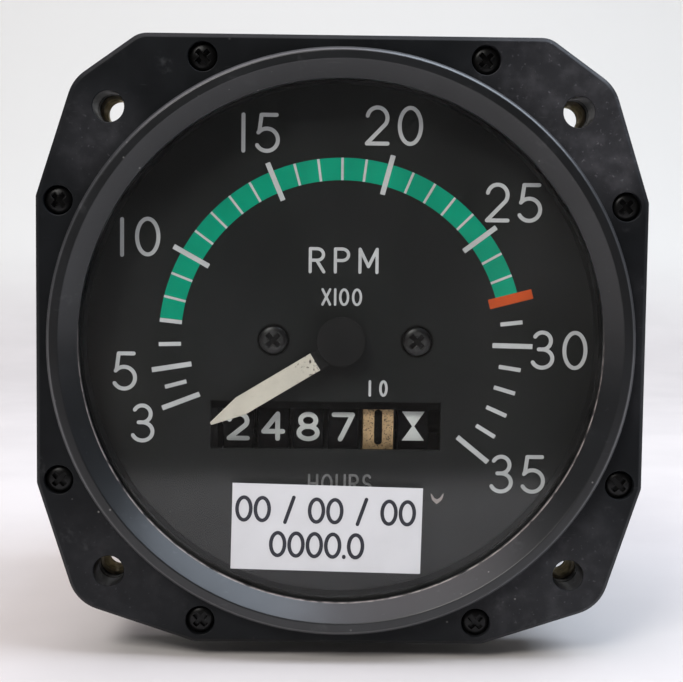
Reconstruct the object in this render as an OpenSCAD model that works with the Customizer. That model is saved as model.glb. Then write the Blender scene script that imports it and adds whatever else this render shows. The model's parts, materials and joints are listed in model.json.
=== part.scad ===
// Panel-mounted aircraft tachometer: a magnetic drag-cup pointer movement and an hour counter
// in one round case behind a square flange.
// X runs to the right, Y into the panel and Z up. The origin is on the dial axis, at the front
// face of the flange, which seats against the back of the instrument panel.

/* [Flange] */
// Spacing of the four mounting holes, the same both ways, which the other front sizes follow
mount_pitch = 62.865; // [61:0.005:65]
// Diameter of a mounting hole
mount_hole_d = 4.2; // [3.8:0.1:4.8]
// Distance from a mounting hole to the flange's two edges
mount_edge = 9.8425; // [9:0.0005:12]
// Length of the straight edge at each side and at the bottom
side_flat = 38.6; // [34:0.2:42]
// Length of the straight edge at the top
top_flat = 52.6; // [46:0.2:55]
// Radius of the corners, about the mounting holes
corner_r = 5.7; // [4.6:0.1:6.4]
// Blend radius at the ends of the top edge
top_blend_r = 3.5; // [1.5:0.1:4.5]
// Blend radius at the ends of the bottom edge
bottom_blend_r = 3; // [1.5:0.1:4]
// Blend radius at the ends of the side edges
side_blend_r = 1.2; // [1:0.1:2.5]
// Thickness of the bezel's flange
bezel_t = 4.8; // [4.2:0.1:6.5]
// Bevel along the flange's front edge
flange_edge = 0.6; // [0.2:0.1:0.9]

/* [Bezel ring] */
// Distance from the flange's edge to the raised ring
ring_inset = 1.825; // [1.2:0.005:2.5]
// Height of the ring in front of the flange
ring_h = 2.4; // [1.6:0.1:4]
// Width of the flat land on the ring
ring_land = 1.1; // [0.6:0.1:1.5]
// Bevel on the ring's outer edge
ring_edge = 0.5; // [0.2:0.1:0.8]
// How far the lip at the foot of the funnel reaches over the glass
lip_w = 1.8; // [1.2:0.1:2.8]
// Thickness of the lip that holds the glass
lip_t = 0.8; // [0.6:0.1:1.2]

/* [Bezel screws] */
// Offset of a screw along the edge, from the middle of the edge
bezel_screw_along = 18.9; // [17:0.1:20.5]
// Distance of a screw from the flange's edge
bezel_screw_edge = 3.115; // [2.6:0.005:3.5]
// Head diameter
bezel_head_d = 3.7; // [3.2:0.1:3.8]
// Head height
bezel_head_h = 1.2; // [0.9:0.1:1.6]
// How far a head lies under the flange's face
bezel_head_sunk = 0.25; // [0.1:0.05:0.6]
// Shank diameter
bezel_shank_d = 2.1; // [1.6:0.1:2.4]
// Shank length
bezel_shank_l = 8.5; // [6:0.5:9.5]

/* [Glass] */
// Distance from the ring's outside to the edge of the glass
glass_inset = 2.15; // [1.8:0.05:2.8]
// Thickness of the cover glass
glass_t = 2.2; // [1.6:0.1:3]
// Thickness of the rubber seal in front of the glass
seal_t = 0.5; // [0.3:0.1:0.8]
// Depth of the spacer ring between glass and dial
spacer_t = 3; // [2.8:0.1:4]
// Width of the service label on the glass
label_w = 26.1; // [20:0.1:30]
// Height of the service label
label_h = 11.9; // [8:0.1:13]
// Place of the service label's centre, to the right of the axis
label_x = -1.7; // [-6:0.1:6]
// Distance of the service label's centre from the foot of the funnel below it
label_up = 10; // [8.5:0.1:13]
// Tilt of the service label, clockwise
label_tilt = 1.1; // [0:0.1:4]

/* [Dial] */
// How far the dial's edge lies inside the edge of the glass
dial_trim = 0.1; // [0:0.05:0.5]
// Thickness of the dial plate
dial_t = 1; // [0.6:0.1:1.5]
// Width of the counter's window
window_w = 32.3; // [31:0.1:33]
// Height of the counter's window
window_h = 6.8; // [5.8:0.1:8]
// Half the distance between the dial screws
dial_screw_x = 10.05; // [8:0.05:13]
// How far the pair of dial screws lies to the right of the axis
dial_screw_shift = 0.6; // [0:0.05:1.5]
// Head diameter of a dial screw
dial_head_d = 3.9; // [3.2:0.1:4.4]
// Head height of a dial screw
dial_head_h = 0.8; // [0.5:0.1:1]
// Shank diameter of a dial screw
dial_shank_d = 1.9; // [1.4:0.1:2.2]

/* [Case] */
// Thickness of the case's front flange
case_flange_t = 7.2; // [6.4:0.1:10]
// Room between the lay wheel and the case's wall
case_room = 1.66; // [1.2:0.02:3]
// Wall thickness of the case
case_wall = 2.2; // [1.8:0.1:2.4]
// Room between the cross wheel and the neck's flange at the back
back_room = 0.8; // [0.5:0.1:8]
// Thickness of the case's back
back_t = 3; // [2:0.1:5]
// Rounding of the case's back edge
back_round = 2.5; // [1:0.1:4]
// Outside diameter of a threaded insert
insert_d = 5.6; // [5:0.1:6.4]
// Bore of a threaded insert
insert_bore_d = 3.5; // [3.2:0.1:3.7]
// Length of a threaded insert
insert_l = 5; // [3.5:0.1:6]

/* [Movement frame] */
// Thickness of the front and middle plates
plate_t = 1.5; // [1.2:0.1:2]
// Thickness of the rear plate
rear_plate_t = 2; // [1.5:0.1:2.5]
// Height of the posts that carry the dial in front of the front plate
dial_post_h = 1.5; // [0.8:0.1:2]
// Diameter of those posts
dial_post_d = 5.2; // [4.4:0.1:6]
// Gap between the plates' rims and the case
plate_gap = 2.6; // [1.5:0.1:3.5]
// Distance of the tie screws from the axis
tie_r = 28; // [27.4:0.1:29]
// Angle of the two lower tie screws below the horizontal
tie_angle = 25; // [23:1:28]
// Shank diameter of a tie screw
tie_d = 2.5; // [2:0.1:3]
// Outside diameter of the sleeves on the tie screws
sleeve_d = 5.2; // [4.6:0.1:5.6]
// Head diameter of a tie screw
tie_head_d = 5.2; // [4.6:0.1:6]
// Head height of a tie screw
tie_head_h = 1.8; // [1.2:0.1:2.4]
// Room between the drag cup and the rear plate
cup_room = 4; // [3.6:0.1:8]
// Room between the rear plate and the worms behind it
worm_room = 1.3; // [0.8:0.1:2.5]

/* [Pointer] */
// Length of the pointer from the axis to its tip
pointer_l = 21.4; // [18:0.1:24]
// Width of the pointer's blade
pointer_w = 2.7; // [1.6:0.1:3]
// How far the blade's middle lies beside the axis
pointer_set = 0.6; // [0:0.05:0.8]
// Thickness of the pointer's blade
pointer_t = 0.5; // [0.3:0.1:0.6]
// Length of the taper at the tip
pointer_taper = 4.8; // [3:0.1:9]
// Width of the tip
pointer_tip_w = 0.4; // [0.2:0.1:0.8]
// Rest angle, anticlockwise from the right as seen from the front
pointer_rest = 211.3; // [200:0.1:220]
// Gap between the glass and the pointer's hub
pointer_glass_gap = 0.5; // [0.3:0.1:0.7]
// Diameter of the hub's cap
hub_d = 6.8; // [6:0.1:10]
// Thickness of the hub's cap
hub_t = 0.4; // [0.3:0.1:0.6]
// Diameter of the pointer's staff
staff_d = 1.6; // [1.2:0.1:2]
// Diameter of the staff's jewels
jewel_d = 3; // [2.6:0.1:4]

/* [Drag cup and magnet] */
// Outside diameter of the drag cup
cup_d = 22; // [19.6:0.1:24]
// Wall thickness of the drag cup
cup_wall = 0.5; // [0.4:0.1:0.8]
// Length of the drag cup
cup_l = 8; // [7:0.1:9]
// Gap between the middle plate and the drag cup
cup_gap = 2.6; // [2.4:0.1:3]
// Air gap on each side of the drag cup's wall
air_gap = 0.8; // [0.5:0.1:1]
// Length of the magnet
magnet_l = 5.5; // [4:0.1:6.5]
// Gap between the drag cup's floor and the magnet
magnet_gap = 1.4; // [1:0.1:2]
// Wall thickness of the field ring
field_wall = 1.8; // [1.2:0.1:3]

/* [Hairspring] */
// Diameter of the collet
collet_d = 4; // [3.4:0.1:5]
// Turns of the hairspring
spring_turns = 4.5; // [3.5:0.5:5.5]
// Thickness of the hairspring's strip
spring_t = 0.25; // [0.15:0.05:0.35]
// Width of the hairspring's strip
spring_w = 0.8; // [0.5:0.1:1]
// Radius of the hairspring's outer end
spring_r = 8.3; // [7:0.1:8.6]
// Diameter of the stud that holds the hairspring's outer end
stud_d = 1.8; // [1.4:0.1:2]

/* [Hour counter] */
// Place of the counter's middle, to the right of the axis
counter_x = -2; // [-2.6:0.1:-1.4]
// Height of the counter's axis above the dial axis
counter_z = -12; // [-12.6:0.1:-11.6]
// Spacing of the drums
drum_pitch = 4.97; // [4.9:0.01:5.05]
// Width of a drum
drum_w = 4.3; // [4:0.05:4.4]
// Diameter of a drum
drum_d = 19.6; // [19:0.1:20]
// Gap between the dial and the drums
drum_gap = 1; // [0.6:0.1:1.5]
// Thickness of a drum's web
drum_web = 0.9; // [0.6:0.1:1.2]
// Diameter of a drum's hub
drum_hub_d = 4.4; // [4:0.1:4.6]
// Diameter of the counter's fixed shaft
counter_shaft_d = 3; // [2.4:0.1:3.2]
// Pitch radius of the internal gear in a drum
ring_gear_r = 7.5; // [7.3:0.05:7.7]
// Thickness of a pinion carrier
carrier_t = 0.35; // [0.3:0.01:0.4]
// Diameter of the rod that holds the carriers
carrier_rod_d = 2; // [1.6:0.1:2.2]
// Thickness of the counter's side brackets
bracket_t = 1.2; // [1:0.1:1.6]
// Figure that each drum shows, from the left
shown = [2, 4, 8, 7, 1, 0]; // [0:1:9]

/* [Gear train] */
// Teeth of the wheel on the cross shaft
cross_teeth = 21; // [19:1:23]
// Teeth of the wheel on the lay shaft
lay_teeth = 22; // [19:1:23]
// Teeth of the wheel that turns the running drum
counter_teeth = 15; // [14:1:16]
// Module of the cross and lay wheels
wheel_module = 0.7; // [0.68:0.01:0.72]
// Module of the counter's wheel
counter_module = 0.9; // [0.88:0.01:0.94]
// Thickness of the wheels
wheel_t = 2; // [1.4:0.1:2.2]
// Turns of thread on each worm
worm_turns = 3.5; // [3:0.5:4]
// Pitch radius of the drive worm
drive_worm_r = 3; // [2.9:0.05:3.2]
// Pitch radius of the lay shaft's worm
lay_worm_r = 2.5; // [2.3:0.05:2.6]
// Diameter of the cross and lay shafts
gear_shaft_d = 2.4; // [2:0.1:2.6]

/* [Drive] */
// Diameter of the drive shaft
shaft_d = 4; // [3.4:0.1:4.2]
// Diameter of the drive shaft's rear journal
drive_end_d = 6.4; // [6:0.1:7]
// Width of the square socket for the cable's tip
square_w = 3.8; // [3.4:0.1:4]
// Depth of the square socket
square_l = 6; // [4:0.1:7]
// Wall thickness of the drive shaft's bushes
bush_wall = 1.4; // [1:0.1:1.8]
// Diameter of the threaded neck
neck_d = 22.22; // [21:0.02:24]
// Length of the neck behind the case
neck_l = 15; // [13:0.1:20]
// Bore of the neck's mouth
neck_bore_d = 12; // [10.4:0.1:14]
// Depth of the neck's mouth
neck_bore_l = 11; // [9:0.1:12]
// Diameter of the neck's clamping flange
neck_flange_d = 28; // [26:0.1:32]
// Thickness of the neck's clamping flange
neck_flange_t = 2; // [1.5:0.1:2.2]
// Width across the flats of the neck's nut
nut_af = 28.575; // [26.6:0.005:32]
// Thickness of the neck's nut
nut_t = 4; // [3:0.1:6]

/* [Fits] */
// Radial clearance of pieces that stay put in their seats
fit_gap = 0.03; // [0.02:0.01:0.05]
// Radial clearance of shafts in their bearings
run_gap = 0.05; // [0.03:0.01:0.08]
// Radial clearance of screws in plain holes
hole_gap = 0.12; // [0.08:0.01:0.15]
// Radial clearance of the glass, spacer and dial in their recess
glass_gap = 0.2; // [0.1:0.05:0.3]
// Side clearance between pieces that turn past each other
turn_gap = 0.6; // [0.4:0.1:0.8]

/* [Hidden] */
$fn = 96;
over = 1;
arc_step = 6;

mount_half = mount_pitch / 2;
flange_half = mount_half + mount_edge;
bezel_screw_out = flange_half - bezel_screw_edge;
mounts = [for (sx = [-1, 1], sz = [-1, 1]) [sx * mount_half, sz * mount_half]];
bezel_screws_at = [
    for (sx = [-1, 1], sz = [-1, 1], beside = [false, true])
        beside ? [sx * bezel_screw_out, sz * bezel_screw_along]
               : [sx * bezel_screw_along, sz * bezel_screw_out]
];

ring_r = flange_half - ring_inset;
funnel_r = ring_r - ring_edge - ring_land;
glass_r = ring_r - glass_inset;
sight_r = glass_r - lip_w;
recess_r = glass_r + glass_gap;
dial_r = glass_r - dial_trim;
label_z = label_up - sight_r;

glass_y = lip_t + seal_t;
spacer_y = glass_y + glass_t;
dial_y = spacer_y + spacer_t;
ledge_y = dial_y + dial_t;
label_t = 0.12;

// Tooth and thread proportions, as shares of the module
thread_share = 0.62;
tip_share = 0.42;
root_share = 0.95;
tooth_tip_share = 0.42;
tooth_root_share = 1.4;

case_flange_end = bezel_t + case_flange_t;

front_y = ledge_y + dial_post_h;
front_end = front_y + plate_t;
drum_r = drum_d / 2;
counter_y = ledge_y + drum_gap + drum_r;
counter_bay_gap = 0.8;
mid_y = counter_y + drum_r + counter_bay_gap;
mid_end = mid_y + plate_t;
cup_y = mid_end + cup_gap;
rear_y = cup_y + cup_l + cup_room;
rear_end = rear_y + rear_plate_t;
ties = [for (a = [90, 180 + tie_angle, -tie_angle]) tie_r * [cos(a), sin(a)]];

drum_count = 6;
drum_x = [for (k = [0:drum_count - 1]) counter_x + (k - (drum_count - 1) / 2) * drum_pitch];
last_drum_edge = drum_x[drum_count - 1] + drum_w / 2;
recess_l = (drum_w - drum_web) / 2;
drum_hub_r = drum_hub_d / 2;
counter_shaft_r = counter_shaft_d / 2;

ring_teeth = 20;
pinion_teeth = 6;
figure_step = 36;
transfer_figure = 9.5;
pinion_dir = 45;
pinion_pitch_r = ring_gear_r * pinion_teeth / ring_teeth;
pinion_offset = ring_gear_r - pinion_pitch_r;
pinion_addendum = 0.45;
pinion_dedendum = 0.75;
pinion_tip_r = pinion_pitch_r + pinion_addendum;
pinion_root_r = pinion_pitch_r - pinion_dedendum;
pinion_tip_w = 0.5;
pinion_root_w = 1.3;
ring_dedendum = 0.7;
ring_root_r = ring_gear_r + ring_dedendum;
ring_tip_r = ring_gear_r - pinion_addendum;
ring_tip_w = 0.5;
ring_root_w = 1.1;
lock_drop = 0.1;
lock_r = ring_gear_r - lock_drop;
lock_slot_w = 1.3;
pinion_end_gap = 0.32;
pinion_y = counter_y + pinion_offset * cos(pinion_dir);
pinion_z = counter_z + pinion_offset * sin(pinion_dir);
rod_gap = 0.7;
carrier_reach = drum_r + rod_gap + carrier_rod_d / 2;
carrier_y = counter_y + carrier_reach * cos(pinion_dir);
carrier_z = counter_z + carrier_reach * sin(pinion_dir);
carrier_wall = 0.8;
carrier_eye_wall = 0.7;
carrier_tail_wall = 0.3;
carrier_eye_r = carrier_rod_d / 2 + carrier_eye_wall;
carrier_tail_w = carrier_rod_d + 2 * carrier_tail_wall;
carrier_half = pinion_tip_r + run_gap + carrier_wall;

shaft_r = shaft_d / 2;
gear_shaft_r = gear_shaft_d / 2;
cross_r = cross_teeth * wheel_module / 2;
lay_r = lay_teeth * wheel_module / 2;
counter_wheel_r = counter_teeth * counter_module / 2;
cross_z = -(drive_worm_r + cross_r);
lay_z = counter_z - counter_wheel_r - lay_worm_r;
cross_worm_r = cross_z - lay_z - lay_r;
worm_y = rear_end + max(drive_worm_r, cross_worm_r) + thread_share * wheel_module + worm_room;
cross_tip_r = cross_r + tip_share * wheel_module;
neck_y = worm_y + cross_tip_r + back_room;
back_inner_y = neck_y + neck_flange_t;
back_y = back_inner_y + back_t;
lay_x = last_drum_edge + turn_gap + lay_worm_r + thread_share * counter_module;
cavity_r = norm([lay_x, lay_z]) + lay_r + tip_share * wheel_module + case_room;
case_r = cavity_r + case_wall;
plate_r = cavity_r - plate_gap;
worm_half = worm_turns * PI * wheel_module / 2;
lay_worm_half = worm_turns * PI * counter_module / 2;

bracket_gap = 0.8;
bracket_left = drum_x[0] - drum_w / 2 - bracket_gap - bracket_t;
bracket_right = lay_x + wheel_t / 2 + bracket_gap;
bracket_foot = 3.4;
bracket_head = 1.4;
bracket_low = counter_z - counter_shaft_r - bracket_foot;
bracket_high = carrier_z + carrier_rod_d / 2 + bracket_head;
opening_gap = 1;
opening_half = sqrt(drum_r * drum_r - pow(counter_y - front_end, 2)) + opening_gap;

shaft_end = 0.4;
cross_bracket_t = 1.2;
cross_bracket_rim = 1.6;
cross_bracket_half = gear_shaft_r + cross_bracket_rim;
cross_left = -(drive_worm_r + wheel_module + turn_gap + cross_bracket_t);
cross_right = lay_x + worm_half + turn_gap;
wheel_slot_half = sqrt(max(0, pow(cross_tip_r, 2) - pow(worm_y - rear_end, 2))) + turn_gap;

cup_r = cup_d / 2;
magnet_r = cup_r - cup_wall - air_gap;
magnet_y = cup_y + cup_wall + magnet_gap;
field_r = cup_r + air_gap;
staff_r = staff_d / 2;
collet_r = collet_d / 2;
stud_r = stud_d / 2;
spring_lift = 0.8;
spring_y = mid_end + spring_lift;
spring_end_gap = 0.15;
stud_lift = 0.2;
stud_at = spring_r + spring_t / 2 + spring_end_gap + stud_r;

dial_screw_places = [dial_screw_shift - dial_screw_x, dial_screw_shift + dial_screw_x];
hub_y = spacer_y + pointer_glass_gap;
pointer_y = hub_y + hub_t;
hub_boss_wall = 1;
hub_boss_r = staff_r + hub_boss_wall;

neck_r = neck_d / 2;
neck_end = back_y + neck_l;
mouth_y = neck_end - neck_bore_l;
drive_end_r = drive_end_d / 2;
end_gap = 0.3;
drive_end_y = mouth_y - end_gap;
journal_y = neck_y + end_gap;
rear_bush_r = drive_end_r + run_gap + bush_wall;
front_bush_r = shaft_r + run_gap + bush_wall;

black_plastic = "#232427";
black_steel = "#17181a";
bright_steel = "#a9adb0";
brass = "#b8974f";
alloy = "#b9bcbe";
dial_black = "#1c1e1f";
drum_black = "#101112";
aged_cream = "#c9b384";
pointer_cream = "#c8c6b4";

// Outward direction, in degrees, of the outer tangent from circle a to circle b, both [x, z, r]
function tangent_angle(a, b) =
    let (dx = b[0] - a[0], dz = b[1] - a[1])
    atan2(dz, dx) - acos((a[2] - b[2]) / norm([dx, dz]));

// Circles that the flange's outline runs round, anticlockwise
function flange_circles() =
    let (h = flange_half, f = side_flat / 2, t = top_flat / 2, m = mount_half)
    [
        [h - side_blend_r, -f, side_blend_r], [h - side_blend_r, f, side_blend_r],
        [m, m, corner_r],
        [t, h - top_blend_r, top_blend_r], [-t, h - top_blend_r, top_blend_r],
        [-m, m, corner_r],
        [side_blend_r - h, f, side_blend_r], [side_blend_r - h, -f, side_blend_r],
        [-m, -m, corner_r],
        [-f, bottom_blend_r - h, bottom_blend_r], [f, bottom_blend_r - h, bottom_blend_r],
        [m, -m, corner_r]
    ];

// The flange's outline as arcs and tangents, drawn in by inset
function flange_points(inset) =
    let (c = flange_circles(), n = len(c))
    [
        for (i = [0:n - 1])
            let (
                from = tangent_angle(c[(i + n - 1) % n], c[i]),
                to = tangent_angle(c[i], c[(i + 1) % n]),
                span = (to - from + 720) % 360,
                steps = max(1, ceil(span / arc_step))
            )
            for (j = [0:steps])
                let (a = from + span * j / steps)
                [c[i][0], c[i][1]] + (c[i][2] - inset) * [cos(a), sin(a)]
    ];

// A ring of straight-sided teeth. With tip_r under root_r the teeth point inwards.
function tooth_points(count, root_r, tip_r, root_w, tip_w, first) = [
    for (i = [0:count - 1])
        let (
            a = first + i * 360 / count,
            along = [cos(a), sin(a)],
            across = [-sin(a), cos(a)]
        )
        each [
            root_r * along - root_w / 2 * across, tip_r * along - tip_w / 2 * across,
            tip_r * along + tip_w / 2 * across, root_r * along + root_w / 2 * across
        ]
];

// A flat piece from y0 to y1, drawn with X to the right and Z up
module plate(y0, y1) {
    translate([0, y1, 0]) rotate([90, 0, 0]) linear_extrude(y1 - y0) children();
}

// A flat piece from x0 to x1 about an axis along X at (y, z), drawn with Z downwards and Y up
module slice(x0, x1, y, z) {
    translate([x0, y, z]) rotate([0, 90, 0]) linear_extrude(x1 - x0) children();
}

// A turned piece about the dial axis, from points of [radius, y]
module turned(points) {
    rotate([-90, 0, 0]) rotate_extrude() polygon(points);
}

module rod_y(r, y0, y1, x = 0, z = 0) {
    translate([x, y0, z]) rotate([-90, 0, 0]) cylinder(r = r, h = y1 - y0);
}

module rod_x(r, x0, x1, y, z) {
    translate([x0, y, z]) rotate([0, 90, 0]) cylinder(r = r, h = x1 - x0);
}

// A screw along Y with a domed, cross-slotted head in front of its seat at the origin
module pan_screw(head_r, head_h, shank_r, shank_l) {
    rim = 0.45;
    slot_l = 1.2;
    slot_w = 0.36;
    slot_depth = 0.7;
    dome_steps = 6;
    dome = [
        for (i = [0:dome_steps])
            let (a = 90 * i / dome_steps)
            [head_r * sin(a), -head_h * (rim + (1 - rim) * cos(a))]
    ];
    difference() {
        turned(concat(dome, [[head_r, 0], [shank_r, 0], [shank_r, shank_l], [0, shank_l]]));
        for (a = [45, 135])
            rotate([0, a, 0])
                translate([-head_r * slot_l / 2, -head_h - over, -head_r * slot_w / 2])
                    cube([head_r * slot_l, over + head_h * slot_depth, head_r * slot_w]);
    }
}

// A single-start worm along Z with a rounded thread whose crest, halfway along, points to crest_at
module worm(pitch_r, module_size, bore_r, crest_at, right_hand) {
    facets = 18;
    slices_per_turn = 10;
    sense = right_hand ? 1 : -1;
    difference() {
        rotate(crest_at - sense * 180 * worm_turns)
            linear_extrude(
                worm_turns * PI * module_size, center = true,
                twist = -sense * 360 * worm_turns, slices = worm_turns * slices_per_turn,
                segments = facets, $fn = facets
            )
                translate([thread_share * module_size, 0]) circle(pitch_r);
        cylinder(r = bore_r, h = worm_turns * PI * module_size + 2 * over, center = true);
    }
}

// A wheel's outline, with the middle of a tooth gap at gap_at
module wheel_outline(teeth, module_size, bore_r, gap_at) {
    pitch_r = teeth * module_size / 2;
    difference() {
        polygon(tooth_points(
            teeth, pitch_r - root_share * module_size, pitch_r + tip_share * module_size,
            tooth_root_share * module_size, tooth_tip_share * module_size, gap_at + 180 / teeth
        ));
        circle(bore_r);
    }
}

module bezel() {
    slope = (funnel_r - sight_r) / ring_h;
    color(black_plastic) difference() {
        union() {
            hull() {
                plate(0, bezel_t) polygon(flange_points(flange_edge));
                plate(flange_edge, bezel_t) polygon(flange_points(0));
            }
            turned([
                [0, -ring_h], [ring_r - ring_edge, -ring_h], [ring_r, ring_edge - ring_h],
                [ring_r, bezel_t], [0, bezel_t]
            ]);
        }
        turned([
            [0, -ring_h - over], [funnel_r + slope * over, -ring_h - over],
            [sight_r, 0], [sight_r, lip_t], [recess_r, lip_t],
            [recess_r, bezel_t + over], [0, bezel_t + over]
        ]);
        for (m = mounts)
            rod_y(mount_hole_d / 2, -over, bezel_t + over, m[0], m[1]);
        for (s = bezel_screws_at) {
            rod_y(bezel_head_d / 2 + hole_gap, -over, bezel_head_h + bezel_head_sunk, s[0], s[1]);
            rod_y(bezel_shank_d / 2 + hole_gap, -over, bezel_t + over, s[0], s[1]);
        }
    }
}

module bezel_screws() {
    color(black_steel) for (s = bezel_screws_at)
        translate([s[0], bezel_head_h + bezel_head_sunk, s[1]])
            pan_screw(bezel_head_d / 2, bezel_head_h, bezel_shank_d / 2, bezel_shank_l);
}

module glass_seal() {
    inner_r = sight_r + glass_gap;
    color("#2b2b2d") turned([
        [inner_r, lip_t], [glass_r, lip_t], [glass_r, glass_y], [inner_r, glass_y]
    ]);
}

module cover_glass() {
    color("#c9d6d8", 0.35) rod_y(glass_r, glass_y, spacer_y);
}

module service_label() {
    color("#ebebe8") translate([label_x, 0, label_z]) rotate([0, label_tilt, 0])
        translate([-label_w / 2, glass_y - label_t, -label_h / 2]) cube([label_w, label_t, label_h]);
}

module spacer_ring() {
    color(black_steel) turned([
        [sight_r, spacer_y], [glass_r, spacer_y], [glass_r, dial_y], [sight_r, dial_y]
    ]);
}

module dial() {
    color(dial_black) plate(dial_y, ledge_y) difference() {
        circle(dial_r);
        translate([counter_x, counter_z]) square([window_w, window_h], center = true);
        circle(hub_boss_r + turn_gap);
        for (x = dial_screw_places) translate([x, 0]) circle(dial_shank_d / 2 + hole_gap);
    }
}

module dial_screws() {
    color(black_steel) for (x = dial_screw_places)
        translate([x, dial_y, 0])
            pan_screw(dial_head_d / 2, dial_head_h, dial_shank_d / 2, dial_t + dial_post_h + plate_t);
}

module case() {
    round_steps = 6;
    edge = [
        for (i = [0:round_steps])
            let (a = 90 * i / round_steps)
            [case_r - back_round * (1 - cos(a)), back_y - back_round * (1 - sin(a))]
    ];
    color(black_plastic) difference() {
        union() {
            plate(bezel_t, case_flange_end) polygon(flange_points(0));
            turned(concat([[0, bezel_t], [case_r, bezel_t]], edge, [[0, back_y]]));
        }
        turned([
            [0, bezel_t - over], [recess_r, bezel_t - over], [recess_r, ledge_y],
            [cavity_r, ledge_y], [cavity_r, back_inner_y], [0, back_inner_y]
        ]);
        for (m = mounts) {
            rod_y(mount_hole_d / 2, bezel_t - over, case_flange_end, m[0], m[1]);
            rod_y(insert_d / 2 + fit_gap, case_flange_end - insert_l, case_flange_end + over, m[0], m[1]);
        }
        for (s = bezel_screws_at)
            rod_y(bezel_shank_d / 2 + fit_gap, bezel_t - over, case_flange_end + over, s[0], s[1]);
        for (t = ties)
            rod_y(tie_d / 2 + hole_gap, back_inner_y - over, back_y + over, t[0], t[1]);
        rod_y(neck_r + fit_gap, back_inner_y - over, back_y + over);
    }
}

module mount_inserts() {
    color(brass) for (m = mounts)
        translate([m[0], 0, m[1]]) turned([
            [insert_bore_d / 2, case_flange_end - insert_l], [insert_d / 2, case_flange_end - insert_l],
            [insert_d / 2, case_flange_end], [insert_bore_d / 2, case_flange_end]
        ]);
}

// Holes of the tie screws through a plate
module tie_holes(r) {
    for (t = ties) translate(t) circle(r);
}

module front_plate() {
    color(alloy) difference() {
        union() {
            plate(front_y, front_end) difference() {
                circle(plate_r);
                translate([bracket_left + bracket_t, counter_z - opening_half])
                    square([bracket_right - bracket_left - bracket_t, 2 * opening_half]);
                tie_holes(tie_d / 2 + fit_gap);
            }
            for (x = dial_screw_places) rod_y(dial_post_d / 2, ledge_y, front_end, x, 0);
        }
        for (x = dial_screw_places)
            rod_y(dial_shank_d / 2 + fit_gap, ledge_y - over, front_end + over, x, 0);
        rod_y(jewel_d / 2 + fit_gap, front_y - over, front_end + over);
    }
}

module mid_plate() {
    color(alloy) plate(mid_y, mid_end) difference() {
        circle(plate_r);
        tie_holes(tie_d / 2 + hole_gap);
        circle(jewel_d / 2 + fit_gap);
        translate([lay_x, lay_z]) circle(gear_shaft_r + run_gap);
    }
}

module rear_plate() {
    color(alloy) plate(rear_y, rear_end) difference() {
        circle(plate_r);
        tie_holes(tie_d / 2 + hole_gap);
        circle(front_bush_r + fit_gap);
        translate([lay_x, lay_z]) circle(gear_shaft_r + run_gap);
        translate([0, cross_z]) square([wheel_t + 2 * turn_gap, 2 * wheel_slot_half], center = true);
    }
}

module tie_screws() {
    color(black_steel) for (t = ties)
        translate([t[0], back_y, t[1]]) rotate([0, 0, 180])
            pan_screw(tie_head_d / 2, tie_head_h, tie_d / 2, back_y - front_y);
}

module spacer_sleeves() {
    bays = [[front_end, mid_y], [mid_end, rear_y], [rear_end, back_inner_y]];
    bore_r = tie_d / 2 + hole_gap;
    color(brass) for (t = ties, b = bays)
        translate([t[0], 0, t[1]]) turned([
            [bore_r, b[0]], [sleeve_d / 2, b[0]], [sleeve_d / 2, b[1]], [bore_r, b[1]]
        ]);
}

module pointer() {
    shoulder = pointer_l - pointer_taper;
    side = pointer_w / 2;
    tip = pointer_tip_w / 2;
    eye_wall = 0.8;
    color(pointer_cream) plate(pointer_y, pointer_y + pointer_t) rotate(pointer_rest) difference() {
        union() {
            translate([0, pointer_set]) polygon([
                [0, -side], [shoulder, -side], [pointer_l, -tip],
                [pointer_l, tip], [shoulder, side], [0, side]
            ]);
            circle(hub_boss_r + eye_wall);
        }
        circle(hub_boss_r + fit_gap);
    }
}

module pointer_hub() {
    bore_r = staff_r + fit_gap;
    boss_tail = 0.9;
    boss_l = pointer_t + boss_tail;
    color(drum_black) turned([
        [0, hub_y], [hub_d / 2, hub_y], [hub_d / 2, pointer_y], [hub_boss_r, pointer_y],
        [hub_boss_r, pointer_y + boss_l], [bore_r, pointer_y + boss_l], [bore_r, pointer_y], [0, pointer_y]
    ]);
}

module pointer_staff() {
    color(bright_steel) rod_y(staff_r, pointer_y, cup_y + cup_wall + end_gap);
}

module jewel(y0, y1) {
    bore_r = staff_r + run_gap;
    color("#9c2f45") turned([[bore_r, y0], [jewel_d / 2, y0], [jewel_d / 2, y1], [bore_r, y1]]);
}

module front_jewel() { jewel(front_y, front_end); }

module mid_jewel() { jewel(mid_y, mid_end); }

module drag_cup() {
    bore_r = staff_r + fit_gap;
    color(alloy) turned([
        [bore_r, cup_y], [cup_r, cup_y], [cup_r, cup_y + cup_l], [cup_r - cup_wall, cup_y + cup_l],
        [cup_r - cup_wall, cup_y + cup_wall], [bore_r, cup_y + cup_wall]
    ]);
}

module field_ring() {
    end = cup_y + cup_l;
    color(bright_steel) turned([
        [field_r, mid_end], [field_r + field_wall, mid_end], [field_r + field_wall, end], [field_r, end]
    ]);
}

module magnet() {
    bore_r = shaft_r + fit_gap;
    end = magnet_y + magnet_l;
    color("#4a4d50") turned([[bore_r, magnet_y], [magnet_r, magnet_y], [magnet_r, end], [bore_r, end]]);
}

module spring_collet() {
    bore_r = staff_r + fit_gap;
    end = spring_y + spring_w + shaft_end;
    color(brass) turned([[bore_r, spring_y], [collet_r, spring_y], [collet_r, end], [bore_r, end]]);
}

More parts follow.
